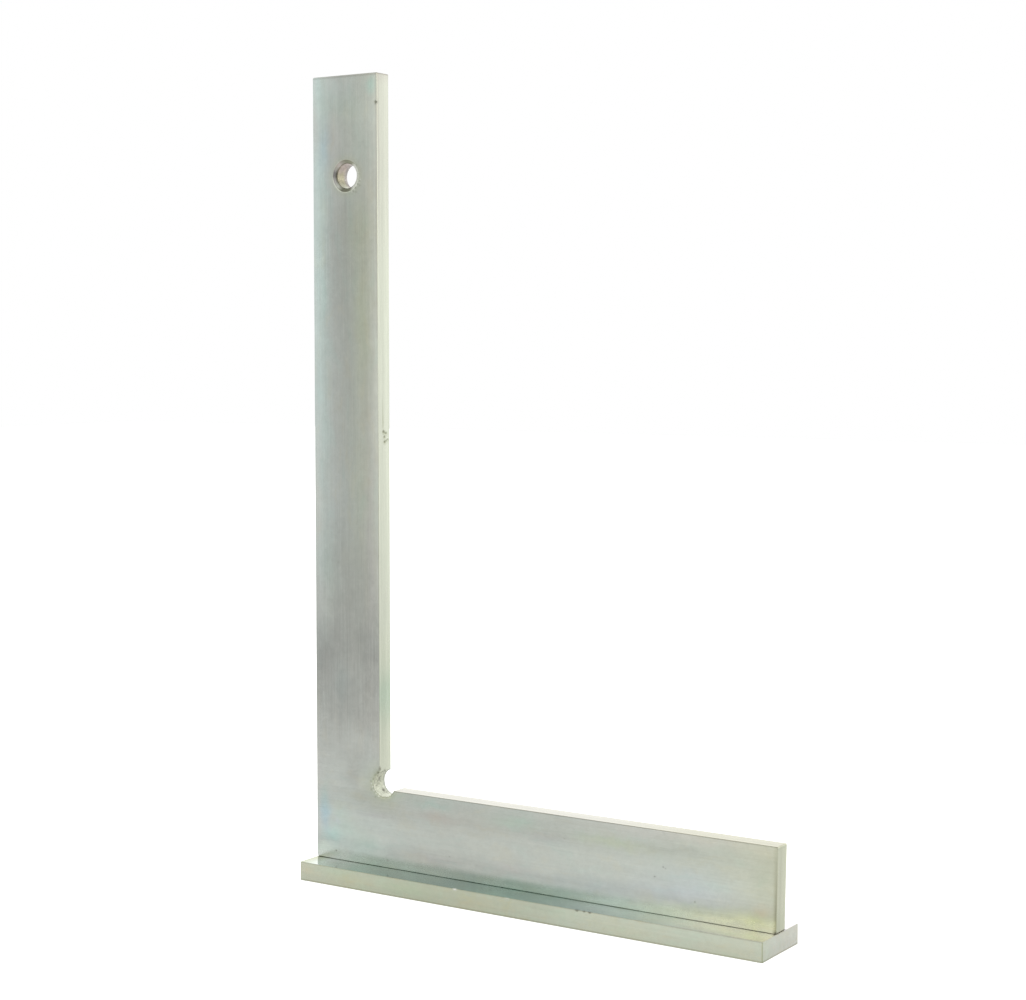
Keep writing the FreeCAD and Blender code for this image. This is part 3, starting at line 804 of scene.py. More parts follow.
def leg_colours(wander_x, wander_z, on_long):
    """Long leg: pale along both edges.  Short leg: greener and yellower to the toe."""
    across = ((wander_x - HEEL_X) / LEG_W).ramp(ACROSS_LONG)
    long_coat = wander_z.fade(58, 120, low=0.12).mix(LONG_FLAT, across)
    along = (wander_x - HEEL_X) / LENGTH
    height = (wander_z - Z_LEDGE) / (SHORT_Z - Z_LEDGE)
    short_coat = along.ramp(ALONG_SHORT).times(height.ramp(UP_SHORT))
    glow = along.ramp(LOW_GLOW) * LOW_GLOW_GAIN
    short_coat = short_coat.scaled(1.0 + (glow - 1.0) * height.fade(0.15, 0.08))
    return on_long.mix(short_coat, long_coat)


def corner_band(coat, x, z, wander_x, wander_z):
    """Grey band that follows the inner side and bends round the corner."""
    centre, radius, half_width = (-50.0, Y_FRONT, 40.0), 17.0, 5.5
    band = abs(combine(wander_x, Y_FRONT, wander_z).distance(*centre) - radius)
    band = band.fade(half_width, 0) * (x.fade(-36, -58) * z.fade(66, 40))
    return coat.tints((band * 0.8, (0.925, 0.905, 0.895)))


def hole_rings(coat, point, x, z, front):
    """Olive and flecked rings on the front face round the hanging hole and the relief."""
    fleck = point.noise(scale=2.2, detail=2.0).fade(0.46, 0.60)
    low_right = (x - z).fade(HANG_X - HANG_Z - 1.5, HANG_X - HANG_Z + 3.0)
    fleck2 = point.noise(shift=(9, 4, 2), scale=2.8, detail=2.0).fade(0.50, 0.60)
    rings = [  # hole, start outside its radius, width, colour, amount
        (HANG, 1.2, 2.8, (0.995, 0.995, 0.925), 0.8),
        (HANG, 1.05, 0.7, (1.09, 1.08, 1.06), 0.6),
        (HANG, 0.95, 1.1, (1.20, 1.20, 1.17), fleck * low_right),
        (HANG, 1.2, 1.7, (0.86, 0.86, 0.83), fleck2 * (0.15 + low_right * 0.45)),
        (RELIEF, 0, 6.5, (0.975, 0.975, 0.885), 0.8),
        (RELIEF, 0, 2.2, (0.96, 0.96, 0.88), 0.7),
        (RELIEF, 0.1, 1.0, (1.13, 1.14, 1.08), fleck.fade(0.4, 0.9)),
        (RELIEF, 0.05, 0.7, (0.83, 0.84, 0.74),
         (0.25 + fleck2 * 0.65) * z.fade(RELIEF_Z - 3.8, RELIEF_Z - 2.4)),
        (RELIEF, 0.1, 0.6, (1.22, 1.22, 1.15), z.fade(RELIEF_Z - 2.6, RELIEF_Z - 3.8)),
        (RELIEF, 0.5, 1.6, (0.89, 0.895, 0.84), fleck2 * 0.6),
    ]
    for (at_x, at_z, radius), gap, width, rgb, amount in rings:
        start = radius + gap
        away = point.distance(at_x, Y_FRONT, at_z)
        coat = coat.tints((away.fade(start + width, start) * front * amount, rgb))
    return coat


def edge_coat(point, x, y, z, face_x, face_z, wander_z, inner):
    """The plate's edges: creamier plating, with drawn lines along their length."""
    drawn = point.noise(stretch=(0.02, 1.9, 0.02))
    drawn2 = point.noise(stretch=(0.3, 0.4, 0.09))
    coat = drawn.fade(0.35, 0.65).mix((0.690, 0.720, 0.600), (0.650, 0.680, 0.565))
    coat = coat.scaled(0.94 + drawn2 * 0.12)
    wander_y = y + point.noise(stretch=(0.02, 0.02, 0.03), detail=2.0, rough=0.5).swing(1.6)
    across = ((wander_y - Y_FRONT) / THICK).ramp(ACROSS_EDGE) * 1.085
    upward = face_z.fade(0.3, 0.9)
    line_y, line_w = -1.75, 0.34                  # thin line along the inner edge
    thin = calculate("POWER", (wander_y + -line_y) / line_w, 2.0)
    thin = calculate("EXPONENT", thin * -1.0)
    toe_end = face_x.fade(0.3, 0.9) * x.fade(70, 80)
    middle_y = -0.2
    top_tone = abs(y - middle_y).fade(0.2, 1.4, low=0.955, high=1.01)
    return upward.mix(coat.scaled(across), coat.scaled(top_tone)).tints(
        (upward, (0.865, 0.815, 0.85)),
        (upward * x.fade(18, 62), (0.90, 0.90, 0.80)),
        (inner * z.fade(185, 225), (0.955, 0.935, 0.955)),
        (inner * thin * z.fade(190, 232, low=0.25), (0.83, 0.80, 0.80)),
        (inner * wander_z.fade(88, 72), (0.985, 0.985, 0.965)),
        (toe_end, (0.86, 0.85, 0.79)),
        (toe_end * z.fade(16, 8), (0.94, 0.955, 0.94)))


def worn_breaks(coat, x, y, z, face_x, face_z, front, side, broken, inner, wander_z):
    """A stain on the inner edge, a painted highlight along the inner edge's front break, and lines
    along the breaks, the top and the toe.
    """
    # painted highlight on the inner edge's front break: brighter high up, darker low down
    inner_break_highlight = z.fade(120, 225).mix((0.84, 0.83, 0.81), (1.42, 1.43, 1.34))
    high = x.fade(-40, -50) * z.fade(150, 225)
    toe_line = combine(x, y, 0.0).spot((TOE_X - 0.15, Y_FRONT, 0), (0.75, 0.55, 1))
    toe_line = toe_line * z.fade(31, 9, low=0.22)
    toe_face = combine(x, y, 0.0).spot((TOE_X - 0.8, Y_FRONT, 0), (0.7, 1, 1))
    stain = combine(x, 0.0, wander_z).spot((INNER_X, 0, 60.5), (1, 1, 8))
    return coat.tints(
        (stain * side, (0.81, 0.90, 0.885)),
        (broken * face_z.fade(0.15, 0.45), (0.62, 0.60, 0.57)),
        (broken * face_x.fade(0.2, 0.5) * (z.fade(38, 42) * y.fade(0, -1)), inner_break_highlight),
        (front * z.fade(Z_TOP - 1.0, Z_TOP - 0.4), (0.84, 0.82, 0.81)),
        (front * high * x.fade(INNER_X - 1.0, INNER_X - 0.35), (0.90, 0.87, 0.87)),
        (side * z.fade(Z_TOP - 0.75, Z_TOP - 0.25), (0.66, 0.64, 0.63)),
        (side * inner * z.fade(Z_TOP - 4.5, Z_TOP - 0.5), (0.95, 0.925, 0.945)),
        (toe_line * y.fade(Y_FRONT + 1.0, Y_FRONT + 0.3), (0.56, 0.55, 0.48)),
        (toe_face * front * 0.35, (0.90, 0.89, 0.84)))


def hole_walls(coat, point, x, y, z, face_z, flat_side):
    """Colours the bore and relief walls: cream, with specks where the plating is thin, and painted
    shading on the relief's wall, lighter where it faces up.
    """
    def wall(coat, hole, full, none, rgb, specks):
        away = combine(x, 0.0, z).distance(hole[0], 0, hole[1])
        amount = away.fade(hole[2] + none, hole[2] + full) * flat_side
        spots = point.noise(scale=1.5).fade(0.58, 0.68)
        return amount.mix(coat, (spots * specks).mix(rgb, (0.17, 0.165, 0.12)))

    height = z - HANG_Z + point.noise(scale=0.9).swing(2.4)
    bore = ((height + 4.0) / 8.0).ramp(BORE_WALL)
    bore = y.fade(Y_BACK - 2.4, Y_BACK - 0.9).mix(bore, (0.41, 0.375, 0.35))
    bore = bore.scaled(0.40 + point.noise(scale=1.3, rough=0.7) * 1.20)
    coat = wall(coat, HANG, 0.1, 0.35, bore, specks=0.30)
    # painted shading: the relief's wall is lighter where it faces up
    cream = ((face_z + 1.0) / 2.0).ramp(RELIEF_WALL)
    cream = cream.scaled(
        0.40 + point.noise(stretch=(1, 0.55, 1), scale=1.5, detail=4.0, rough=0.7) * 1.20)
    cream = (y.fade(Y_BACK - 1.5, Y_BACK - 0.5) * 0.6).mix(cream, (0.42, 0.43, 0.39))
    return wall(coat, RELIEF, 0.05, 0.4, cream, specks=0.9)


def countersink(coat, point, x, y, z, flat_side):
    """Bares the countersink's cone, with a paler right side as a painted highlight. Also gives how
    dull the cone and hole walls are.
    """
    away = combine(x, 0.0, z).distance(HANG_X, 0, HANG_Z)
    cone = (away.fade(HANG_R - 0.02, HANG_R + 0.03) * away.fade(HANG_R + 1.22, HANG_R + 1.08)
            * y.fade(Y_FRONT + 1.0, Y_FRONT + 0.8))
    # the cone's right side is paler and less metallic: a painted highlight
    lit_right_side = x.fade(HANG_X + 1.2, HANG_X + 3.0) * z.fade(HANG_Z + 4.2, HANG_Z + 2.8)
    upper_left = combine(x, 0.0, z).spot((HANG_X - 2.6, 0, HANG_Z + 3.4), (1.7, 1, 1.5))
    lower_left = combine(x, 0.0, z).spot((HANG_X - 3.2, 0, HANG_Z - 3.2), (1.3, 1, 1.3))
    bare = away.fade(HANG_R + 0.55, HANG_R + 0.35).mix((0.285, 0.275, 0.265),
                                                       (0.135, 0.125, 0.105))
    bare = bare.covers(
        (z.fade(HANG_Z + 1.6, HANG_Z + 3.4), (0.27, 0.275, 0.20)),
        (z.fade(HANG_Z - 3.2, HANG_Z - 4.0), (0.17, 0.175, 0.125)),
        (upper_left * 0.9, (0.56, 0.51, 0.47)),
        (lower_left * 0.8, (0.50, 0.52, 0.45)),
        (lit_right_side, (0.49, 0.505, 0.45)))
    bare = bare.scaled(0.80 + point.noise(scale=1.8, rough=0.65) * 0.40)
    coat = coat.covers((cone * 0.95, bare))
    lip = abs(away - HANG_R).fade(0.22, 0.05) * y.fade(Y_FRONT + 1.2, Y_FRONT + 0.9)
    coat = coat.tints((lip * (1.0 - lit_right_side), (0.62, 0.60, 0.52)))
    in_bore = away.fade(HANG_R + 0.35, HANG_R + 0.1) * flat_side
    relief_away = combine(x, 0.0, z).distance(RELIEF_X, 0, RELIEF_Z)
    in_relief = relief_away.fade(RELIEF_R + 0.4, RELIEF_R + 0.05) * flat_side
    walls = calculate("MAXIMUM", in_bore * 0.45, in_relief * 0.55)
    return coat, calculate("MAXIMUM", cone * (lit_right_side * 0.95), walls)


def chips(coat, point, table, pale, dark, at_x=0.0, at_z=0.0):
    for x, z, radius, is_pale in table:
        chip = point.spot((at_x + x, Y_FRONT, at_z + z), (radius, 0.6, radius))
        coat = coat.covers((chip * (0.6 if is_pale else 0.5), pale if is_pale else dark))
    return coat


def blade_dirt_and_shade(coat, point):
    """Dirt in the marks of use and the relief, painted shade at the toe's bottom corner, and chips
    in the plating.
    """
    def dark_spot(coat, centre, radii, amount):
        return coat.covers((point.spot(centre, radii) * amount, (0.13, 0.13, 0.10)))

    for x, z, radius, depth in FRONT_MARKS:
        spread = radius * (1.25 if depth > 0.2 else 0.85)
        coat = dark_spot(coat, (x, Y_FRONT + 0.1, z), (spread,) * 3, min(0.95, depth * 4.5))
    for y, z, radius, depth in INNER_MARKS:
        coat = dark_spot(coat, (INNER_X, y, z), (radius * 0.8,) * 3, min(0.7, depth * 3.6))
    for x, y, z, radius, _ in JUNCTION_MARKS:
        coat = dark_spot(coat, (x, y, z), (radius * 0.8, radius * 0.8, radius * 1.5), 0.85)
    for y, z, wide, high, amount in INNER_STAINS:
        stain = point.spot((INNER_X, y, z), (0.6, wide, high)) * amount
        coat = coat.covers((stain, (0.27, 0.29, 0.15)))
    coat = chips(coat, point, RELIEF_CHIPS, (0.90, 0.92, 0.82), (0.30, 0.31, 0.22))
    coat = chips(coat, point, HANG_CHIPS, (0.88, 0.89, 0.82), (0.28, 0.28, 0.22),
                 HANG_X, HANG_Z)
    # dirt in the relief, and painted shade at the toe's bottom corner
    for centre, radii, amount in DIRT_AND_SHADE_SPOTS:
        coat = dark_spot(coat, centre, radii, amount)
    return coat


def blade_material():
    material, tree = new_material("zinc_blade")
    point = position_mm(tree)
    x, y, z = point.xyz()
    face_x, face_y, face_z = true_normal(tree)
    front = face_y.fade(-0.6, -0.95)
    side = 1.0 - (front + face_y.fade(0.6, 0.95))
    any_y = abs(face_y)
    flat_side = any_y.fade(0.40, 0.15)            # true edges, not the breaks
    broken = any_y.fade(0.12, 0.30) * any_y.fade(0.98, 0.88)

    # slow wander that keeps the bands and patches from being straight
    slow = point.noise(scale=0.035, rough=0.55)
    slow2 = point.noise(shift=(40, 0, 90), scale=0.09, rough=0.55)
    cloud = point.noise(shift=(11, 5, 33), scale=0.23, detail=4.0, rough=0.62, warp=0.3)
    wander_x = x + slow.swing(4.0) + cloud.swing(2.6)
    wander_z = z + slow2.swing(5.0)
    drift = combine(slow2, 0.5, cloud).vector("SUBTRACT", (0.5, 0.5, 0.5)).scaled(5.0)
    drifted = point.vector("ADD", drift)
    on_long = wander_z.fade(30, 50)

    def leg_noise(at, long_stretch, short_stretch, **settings):
        """Noise drawn out along whichever leg it is on."""
        return (at.noise(stretch=long_stretch, **settings) * on_long
                + at.noise(stretch=short_stretch, **settings) * (1.0 - on_long))

    coat = leg_colours(wander_x, wander_z, on_long)
    for at_x, at_z, wide, high, *rgb in BLADE_PATCHES:
        patch = drifted.spot((at_x, Y_FRONT, at_z), (wide, 12, high))
        coat = coat.tints((patch * front, rgb))
    coat = corner_band(coat, x, z, wander_x, wander_z)
    coat = hole_rings(coat, point, x, z, front)

    # brushing, mottling and fine hairlines
    brush = leg_noise(point, (2.6, 2.6, 0.05), (0.05, 2.6, 2.5), detail=4.0, rough=0.62)
    wide_brush = leg_noise(drifted, (0.42, 0.5, 0.022), (0.030, 0.5, 0.36))
    grain = point.noise(scale=3.6, rough=0.7)
    blotch = point.noise(scale=0.62, detail=4.0, rough=0.65, warp=0.5)
    mottle = point.noise(scale=0.16, detail=4.0, warp=0.4)
    coat = coat.scaled(1.0 + brush.swing(0.17) + wide_brush.swing(0.12) + mottle.swing(0.13)
                       + blotch.swing(0.16) + grain.swing(0.10))
    hue = leg_noise(drifted, (0.26, 0.3, 0.075), (0.085, 0.3, 0.24), shift=(70, 0, 12),
                    rough=0.55, warp=0.5)
    hue_amount = 0.9 - wander_z.fade(40, 55) * wander_z.fade(122, 104) * 0.6
    lines = leg_noise(point, (5.5, 5.5, 0.035), (0.04, 5.5, 5.0), detail=2.0, rough=0.5)
    coat = coat.tints(
        (hue.fade(0.50, 0.74) * hue_amount, (0.97, 1.012, 1.008)),
        (hue.fade(0.50, 0.26) * hue_amount, (1.02, 0.995, 0.955)),
        (lines.fade(0.64, 0.71) * 0.55, (0.90, 0.90, 0.90)),
        (lines.fade(0.35, 0.29) * 0.6, (1.06, 1.06, 1.05)))

    inner = face_x.fade(0.6, 0.9) * x.fade(0, -20)
    coat = side.mix(coat, edge_coat(point, x, y, z, face_x, face_z, wander_z, inner))
    coat = worn_breaks(coat, x, y, z, face_x, face_z, front, side, broken, inner, wander_z)
    coat = hole_walls(coat, point, x, y, z, face_z, flat_side)
    coat, dull = countersink(coat, point, x, y, z, flat_side)
    coat = blade_dirt_and_shade(coat, point)
    # dark grime and painted shade in the joint with the foot, and yellower plating low down by the
    # toe
    joint = z.fade(Z_LEDGE + 0.22, Z_LEDGE + 0.06) * x.fade(TOE_X - 0.4, TOE_X - 0.9)
    coat = coat.covers((joint * x.fade(-72, -81, low=0.30, high=0.75), JOINT_GRIME_AND_SHADE))
    low_toe = x.fade(48, 76) * z.fade(12.5, 8)
    coat = coat.tints((low_toe * y.fade(Y_FRONT + 1.0, Y_FRONT + 0.6), (1.02, 1.02, 0.94)))

    rough = (0.165 + brush.swing(0.08) + mottle.swing(0.08) + side * 0.09
             + z.fade(13, 8) * 0.10)
    height = brush * 0.6 + (grain * 0.35 + lines * 0.3)
    normal = height.bump(strength=0.22, depth_mm=0.02)
    normal = mottle.bump(strength=0.25, depth_mm=0.06, under=normal)
    finish_metal(tree, coat, rough, normal, metallic=1.0 - dull)
    return material


# ------------------------------------------------------------------ the foot's material
FOOT_FRONT_COAT = [  # heel to toe: position, r, g, b
    (0.00, 0.640, 0.670, 0.540), (0.10, 0.600, 0.635, 0.500), (0.30, 0.560, 0.595, 0.460),
    (0.52, 0.570, 0.605, 0.475), (0.62, 0.620, 0.660, 0.535), (1.00, 0.640, 0.675, 0.545)]
FOOT_TOP_COAT = [
    (0.000, 0.470, 0.495, 0.350), (0.030, 0.620, 0.660, 0.590), (0.045, 0.700, 0.740, 0.700),
    (0.079, 0.587, 0.650, 0.580), (0.128, 0.472, 0.588, 0.500), (0.224, 0.440, 0.530, 0.465),
    (0.340, 0.453, 0.582, 0.530), (0.453, 0.482, 0.672, 0.580), (0.562, 0.475, 0.628, 0.560),
    (0.668, 0.611, 0.707, 0.662), (0.770, 0.694, 0.755, 0.670), (0.869, 0.735, 0.715, 0.710),
    (1.000, 0.740, 0.712, 0.728)]
FOOT_TOP_CAMERA_SHADE = [  # painted shade: the top is mostly darker seen directly than in the blade's mirror
    (0.000, 0.79, 0.81, 0.69), (0.042, 0.853, 0.880, 0.883), (0.079, 0.86, 0.825, 0.84),
    (0.128, 0.848, 0.862, 0.864), (0.224, 0.742, 0.781, 0.770), (0.340, 0.714, 0.757, 0.769),
    (0.453, 0.786, 0.822, 0.832), (0.562, 0.847, 0.862, 0.877), (0.668, 0.887, 0.873, 0.915),
    (0.770, 0.896, 0.902, 0.914), (0.869, 1.01, 1.02, 1.02), (1.000, 1.02, 1.02, 1.02)]
FOOT_END_COAT = (0.595, 0.615, 0.535)
FOOT_PATCHES = [  # on the front face: x, z, radius in x, in z, r, g, b
    (-68, 4.8, 6, 1.5, 0.97, 1.03, 1.01), (-80, 3.6, 4, 2.6, 1.05, 1.0, 0.96),
    (-62, 2.4, 9, 2, 1.02, 0.995, 0.94), (-40, 3, 9, 2, 0.965, 1.01, 0.96),
    (-14, 2.2, 8, 1.8, 1.03, 0.99, 0.95), (10, 4.6, 7, 1.5, 0.93, 0.92, 0.93),
    (14, 4.2, 9, 1.4, 0.985, 1.02, 1.0), (38, 2, 10, 1.6, 1.02, 1.0, 0.96),
    (60, 4.4, 9, 1.4, 0.985, 1.01, 1.02), (72, 1.8, 8, 1.5, 1.02, 1.0, 0.97)]


def foot_material():
    material, tree = new_material("zinc_foot")
    point = position_mm(tree)
    x, y, z = point.xyz()
    face_x, face_y, face_z = true_normal(tree)
    top = face_z.fade(0.6, 0.95)
    end = abs(face_x).fade(0.6, 0.95)
    along = (x - FOOT_LO.x) / LENGTH + point.noise(scale=0.05, rough=0.55).swing(0.06)
    # painted shade on the top, only for rays from the camera
    seen = node_value(tree, "ShaderNodeLightPath", "Is Camera Ray")
    top_coat = along.ramp(FOOT_TOP_COAT).tints((seen, along.ramp(FOOT_TOP_CAMERA_SHADE)))
    coat = along.ramp(FOOT_FRONT_COAT).covers((top, top_coat), (end, FOOT_END_COAT))

    brush = point.noise(stretch=(0.022, 2.2, 2.2), detail=4.0, rough=0.62)
    wide_brush = point.noise(stretch=(0.02, 0.45, 0.45), rough=0.55)
    grain = point.noise(scale=3.2, rough=0.7)
    mottle = point.noise(scale=0.17, detail=4.0, warp=0.4)
    blotch = point.noise(scale=0.62, detail=4.0, rough=0.65, warp=0.5)
    tone = (1.0 + brush.swing(0.14) + wide_brush.swing(0.12) + mottle.swing(0.12)
            + blotch.swing(0.14) + grain.swing(0.09))
    # darker towards the bottom edge
    coat = coat.scaled(tone * z.fade(5.2, 0.6, low=1.0, high=0.91))
    # colour drift, everywhere and then across the end faces
    hue = point.noise(shift=(31, 0, 8), stretch=(0.14, 0.3, 0.46), detail=4.0, rough=0.68,
                      warp=0.5)
    coat = coat.tints(
        (mottle.fade(0.52, 0.72) * 0.6, (0.97, 1.03, 1.03)),
        (mottle.fade(0.46, 0.30) * 0.6, (1.03, 1.0, 0.92)),
        (hue.fade(0.50, 0.70) * 0.8, (0.965, 1.015, 1.0)),
        (hue.fade(0.50, 0.32) * 0.8, (1.03, 0.992, 0.955)),
        (end * y.fade(-3, -10.5), (0.975, 1.01, 0.955)),
        (end * y.fade(-2, 8), (1.07, 1.045, 1.06)))
    front = face_y.fade(-0.6, -0.95)
    for at_x, at_z, wide, high, *rgb in FOOT_PATCHES:
        patch = combine(x, 0.0, z).spot((at_x, 0, at_z), (wide, 1, high))
        coat = coat.tints((patch * front, rgb))
    # dark fills and painted glints in the nicks
    for at_x, radius, _, fill, amount in NICKS:
        if fill:
            nick = point.spot((at_x, FOOT_FRONT, Z_LEDGE),
                              (radius * 1.4, radius * 1.1, radius * 1.1))
            coat = coat.covers((nick * amount, fill))

    # bare countersinks below
    near_axis = None
    for screw in SCREWS:
        away = combine(x, y, 0.0).distance(*axis_of(screw), 0)
        near_axis = calculate("MINIMUM", near_axis, away) if near_axis else away
    bare = near_axis.fade(3.42, 3.30) * z.fade(2.2, 1.9)
    coat = coat.covers((bare * 0.7, (0.42, 0.42, 0.40)))
    # painted shade on the upward breaks, toning down their reflection of the bright room, darker
    # breaks at the ends, and painted shade along the bottom ones for the dark gap under the foot
    flat = calculate("MAXIMUM", abs(face_z), calculate("MAXIMUM", abs(face_x), abs(face_y)))
    broken = flat.fade(0.98, 0.90)
    coat = coat.tints(
        (broken * face_z.fade(0.1, 0.4), (0.76, 0.74, 0.70)),
        (broken * face_x.fade(0.2, 0.5) * face_z.fade(0.3, 0.1), (0.80, 0.80, 0.70)),
        (z.fade(0.75, 0.25) * face_z.fade(-0.9, -0.7), (0.74, 0.72, 0.66)))
    # dark grime and painted shade where the blade stands
    near_joint = calculate("MINIMUM", abs(y - Y_FRONT), abs(y - Y_BACK))
    joint = near_joint.fade(0.16, 0.05) * z.fade(5, 5.8) * x.fade(TOE_X - 0.4, TOE_X - 0.9)
    coat = coat.covers((joint * x.fade(-72, -81, low=0.32, high=0.75), JOINT_GRIME_AND_SHADE))

    top_rough = x.fade(-60, 55, low=0.10, high=0.24)
    rough = top * top_rough + (1.0 - top) * 0.24 + brush.swing(0.06) + mottle.swing(0.06)
    normal = (brush * 0.6 + grain * 0.35).bump(strength=0.16, depth_mm=0.02)
    normal = mottle.bump(strength=0.20, depth_mm=0.05, under=normal)
    finish_metal(tree, coat, rough, normal)
    return material


# ------------------------------------------------------------------ the fasteners' materials
def screw_material():
    material, tree = new_material("black_oxide_screw")
    point = position_mm(tree)
    z = point.xyz()[2]
    grain = point.noise(scale=4.0, detail=4.0, rough=0.65)
    patchy = point.noise(scale=0.9)
    height = point.vector("MULTIPLY", (0, 0, 1)).vector("LENGTH")
    turned = combine(height, z, 0.0).noise(scale=9.0, detail=2.0, rough=0.5)
    coat = patchy.fade(0.35, 0.70).mix((0.085, 0.083, 0.085), (0.16, 0.155, 0.15))
    coat = coat.covers((grain.fade(0.62, 0.75), (0.30, 0.29, 0.28)))
    normal = (grain + turned * 0.4).bump(strength=0.25, depth_mm=0.02)
    finish_metal(tree, coat, 0.34 + grain.swing(0.18), normal)
    return material


def pin_material():
    material, tree = new_material("ground_pin")
    point = position_mm(tree)
    rings = combine(0.0, 0.0, point.xyz()[2] * 9.0).noise()
    grain = point.noise(scale=5.0)
    coat = rings.fade(0.35, 0.65).mix((0.60, 0.595, 0.58), (0.68, 0.675, 0.66))
    coat = coat.scaled(0.95 + grain * 0.1)
    normal = rings.bump(strength=0.15, depth_mm=0.01)
    finish_metal(tree, coat, 0.20 + rings.swing(0.10), normal)
    return material


# ------------------------------------------------------------------ studio
ELEVATION_RANGE = (-45.0, 90.0)                   # first angle and span, in degrees
AZIMUTH_RANGE = (-135.0, 30.0)
# brightness of the room at an elevation: degrees, grey or r, g, b
DIM_LOW = [
    (-45, 0.74), (-34, 0.83), (-23, 0.93), (-14, 0.94), (-12.6, 0.88), (-11.4, 0.83),
    (-10.8, 0.77), (-10.2, 0.59), (-9.4, 0.41), (-8.4, 0.405), (-7.4, 0.51), (-6.0, 0.61),
    (-4.2, 0.67), (-1.5, 0.645), (0, 0.63), (3, 0.60), (7, 0.715), (45, 0.95)]
DIM_HIGH = [(-45, 1.0), (16, 1.0), (24, 1.02), (34, 0.92), (45, 0.80)]
BRIGHT = [
    (-45, 0.80), (-30, 0.90), (-14, 0.96), (-12, 1.0), (-10.8, 0.88),
    (-9.7, 0.42, 0.48, 0.455), (-8.5, 0.76), (-6.5, 0.98), (-4.5, 1.09), (2, 1.10), (5, 1.07),
    (8.5, 1.12), (12, 1.42), (22, 1.52), (29, 1.20), (37, 0.98), (45, 0.88)]
CARD = [  # brightness of the upper front by azimuth, with a darker card at the left
    (-135, 1.05), (-129.5, 1.12), (-128.3, 1.04), (-127.2, 0.84), (-126.2, 0.68),
    (-124.8, 0.61), (-123.4, 0.66), (-122.2, 0.80), (-120.8, 1.00), (-119.3, 1.13),
    (-117.5, 1.23), (-112, 1.26), (-105, 1.10)]


def angle_stops(table, start, span):
    return [((angle - start) / span, *level) for angle, *level in table]


def angle_position(angle, start, span):
    return calculate("DIVIDE", angle + -start, span, clamp=True)


def make_world():
    """The camera sees plain white; the steel sees a room with a dim front and a bright back."""
    world = bpy.data.worlds.new("studio")
    bpy.context.scene.world = world
    tree = clear_tree(world)
    x, y, z = node_value(tree, "ShaderNodeTexCoord", "Generated").vector("NORMALIZE").xyz()
    degrees = 180.0 / math.pi
    elevation = calculate("ARCSINE", z) * degrees
    azimuth = calculate("ARCTAN2", y, x) * degrees
    height = angle_position(elevation, *ELEVATION_RANGE)
    low = height.ramp(angle_stops(DIM_LOW, *ELEVATION_RANGE))
    card = angle_position(azimuth, *AZIMUTH_RANGE).ramp(angle_stops(CARD, *AZIMUTH_RANGE))
    high = card.times(height.ramp(angle_stops(DIM_HIGH, *ELEVATION_RANGE)))
    dim = elevation.fade(8.6, 12.0).mix(low, high)
    bright = height.ramp(angle_stops(BRIGHT, *ELEVATION_RANGE))
    room = y.fade(-0.35, 0.45).mix(dim, bright)
    seen = node_value(tree, "ShaderNodeLightPath", "Is Camera Ray")
    white = add_node(tree, "ShaderNodeBackground", ((1, 1, 1),))
    soft = add_node(tree, "ShaderNodeBackground", (room,))
    both = add_node(tree, "ShaderNodeMixShader", (seen, soft.outputs[0], white.outputs[0]))
    add_node(tree, "ShaderNodeOutputWorld", (both.outputs[0],))


def floor_material():
    """A lifted white card, clear from below."""
    material, tree = new_material("white_card")
    diffuse = add_node(tree, "ShaderNodeBsdfDiffuse", ((0.80, 0.80, 0.79),))
    lift = add_node(tree, "ShaderNodeEmission", {"Color": (1, 1, 1), "Strength": 0.62})
    card = add_node(tree, "ShaderNodeAddShader", (diffuse.outputs[0], lift.outputs[0]))
    below = node_value(tree, "ShaderNodeNewGeometry", "Backfacing")
    clear = add_node(tree, "ShaderNodeBsdfTransparent")
    pick = add_node(tree, "ShaderNodeMixShader", (below, card.outputs[0], clear.outputs[0]))
    add_node(tree, "ShaderNodeOutputMaterial", (pick.outputs[0],))
    return material


def make_floor():
    half, z = 3, -0.00003                         # metres
    mesh = bpy.data.meshes.new("floor")
    mesh.from_pydata([(-half, -half, z), (half, -half, z), (half, half, z), (-half, half, z)],
                     [], [(0, 1, 2, 3)])
    floor = link_object("floor", mesh)
    mesh.materials.append(floor_material())
    floor.visible_glossy = False


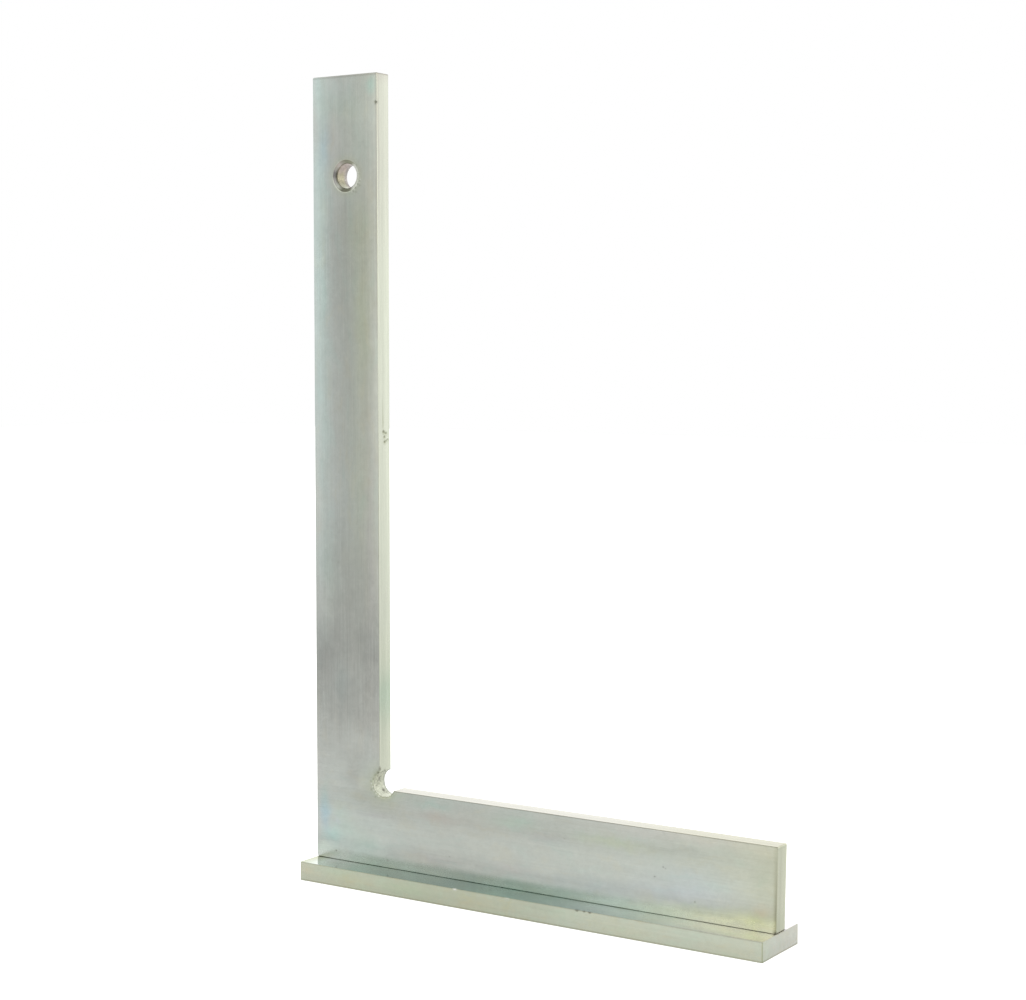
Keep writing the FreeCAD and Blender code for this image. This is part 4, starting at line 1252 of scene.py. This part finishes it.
def make_lamp():
    """One broad soft light overhead."""
    lamp = bpy.data.lights.new("overhead", "AREA")
    lamp.shape, lamp.size, lamp.energy = "DISK", 1.6, 6.0
    lamp.color = (1.0, 0.995, 0.98)
    over = bpy.data.objects.new("overhead", lamp)
    over.location = (0.25, 0.25, 1.6)
    over.rotation_euler = (math.radians(-9), math.radians(9), 0)
    bpy.context.scene.collection.objects.link(over)
    over.visible_camera = False
    over.visible_glossy = False


def make_camera():
    yaw, pitch, roll = math.radians(33.2845), math.radians(4.1999), math.radians(0.0379)
    ahead = Vector((-math.sin(yaw) * math.cos(pitch), math.cos(yaw) * math.cos(pitch),
                    -math.sin(pitch)))
    right = Vector((math.cos(yaw), math.sin(yaw), 0.0))
    up = right.cross(ahead)
    rolled_right = right * math.cos(roll) + up * math.sin(roll)
    rolled_up = up * math.cos(roll) - right * math.sin(roll)
    data = bpy.data.cameras.new("camera")
    data.sensor_fit, data.sensor_width = "AUTO", 36.0
    data.lens = 72.5894737
    data.clip_start, data.clip_end = 0.01, 50.0
    camera = link_object("camera", data)
    matrix = Matrix.Identity(4)
    for i in range(3):
        matrix[i][0], matrix[i][1], matrix[i][2] = rolled_right[i], rolled_up[i], -ahead[i]
    matrix.translation = Vector((0.334299, -0.521659, 0.170758))
    camera.matrix_world = matrix
    bpy.context.scene.camera = camera


# ------------------------------------------------------------------ build
blade = make_blade()
foot = make_foot()
blade.data.materials.append(blade_material())
foot.data.materials.append(foot_material())
screw_coat, pin_coat = screw_material(), pin_material()
for name in SCREWS + PINS:
    fastener = frame["nodes"][name]
    coat = screw_coat if name in SCREWS else pin_coat
    if not fastener.material_slots:
        fastener.data.materials.append(coat)
    for slot in fastener.material_slots:
        slot.material = coat

for obj, node, slot in ((blade, "blade", "blade_steel"), (foot, "foot", "foot_steel")):
    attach(obj, "root")
    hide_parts(node)

make_world()
make_floor()
make_lamp()
make_camera()
view = bpy.context.scene.view_settings
view.view_transform, view.look = "Standard", "None"
view.exposure, view.gamma = 0.0, 1.0
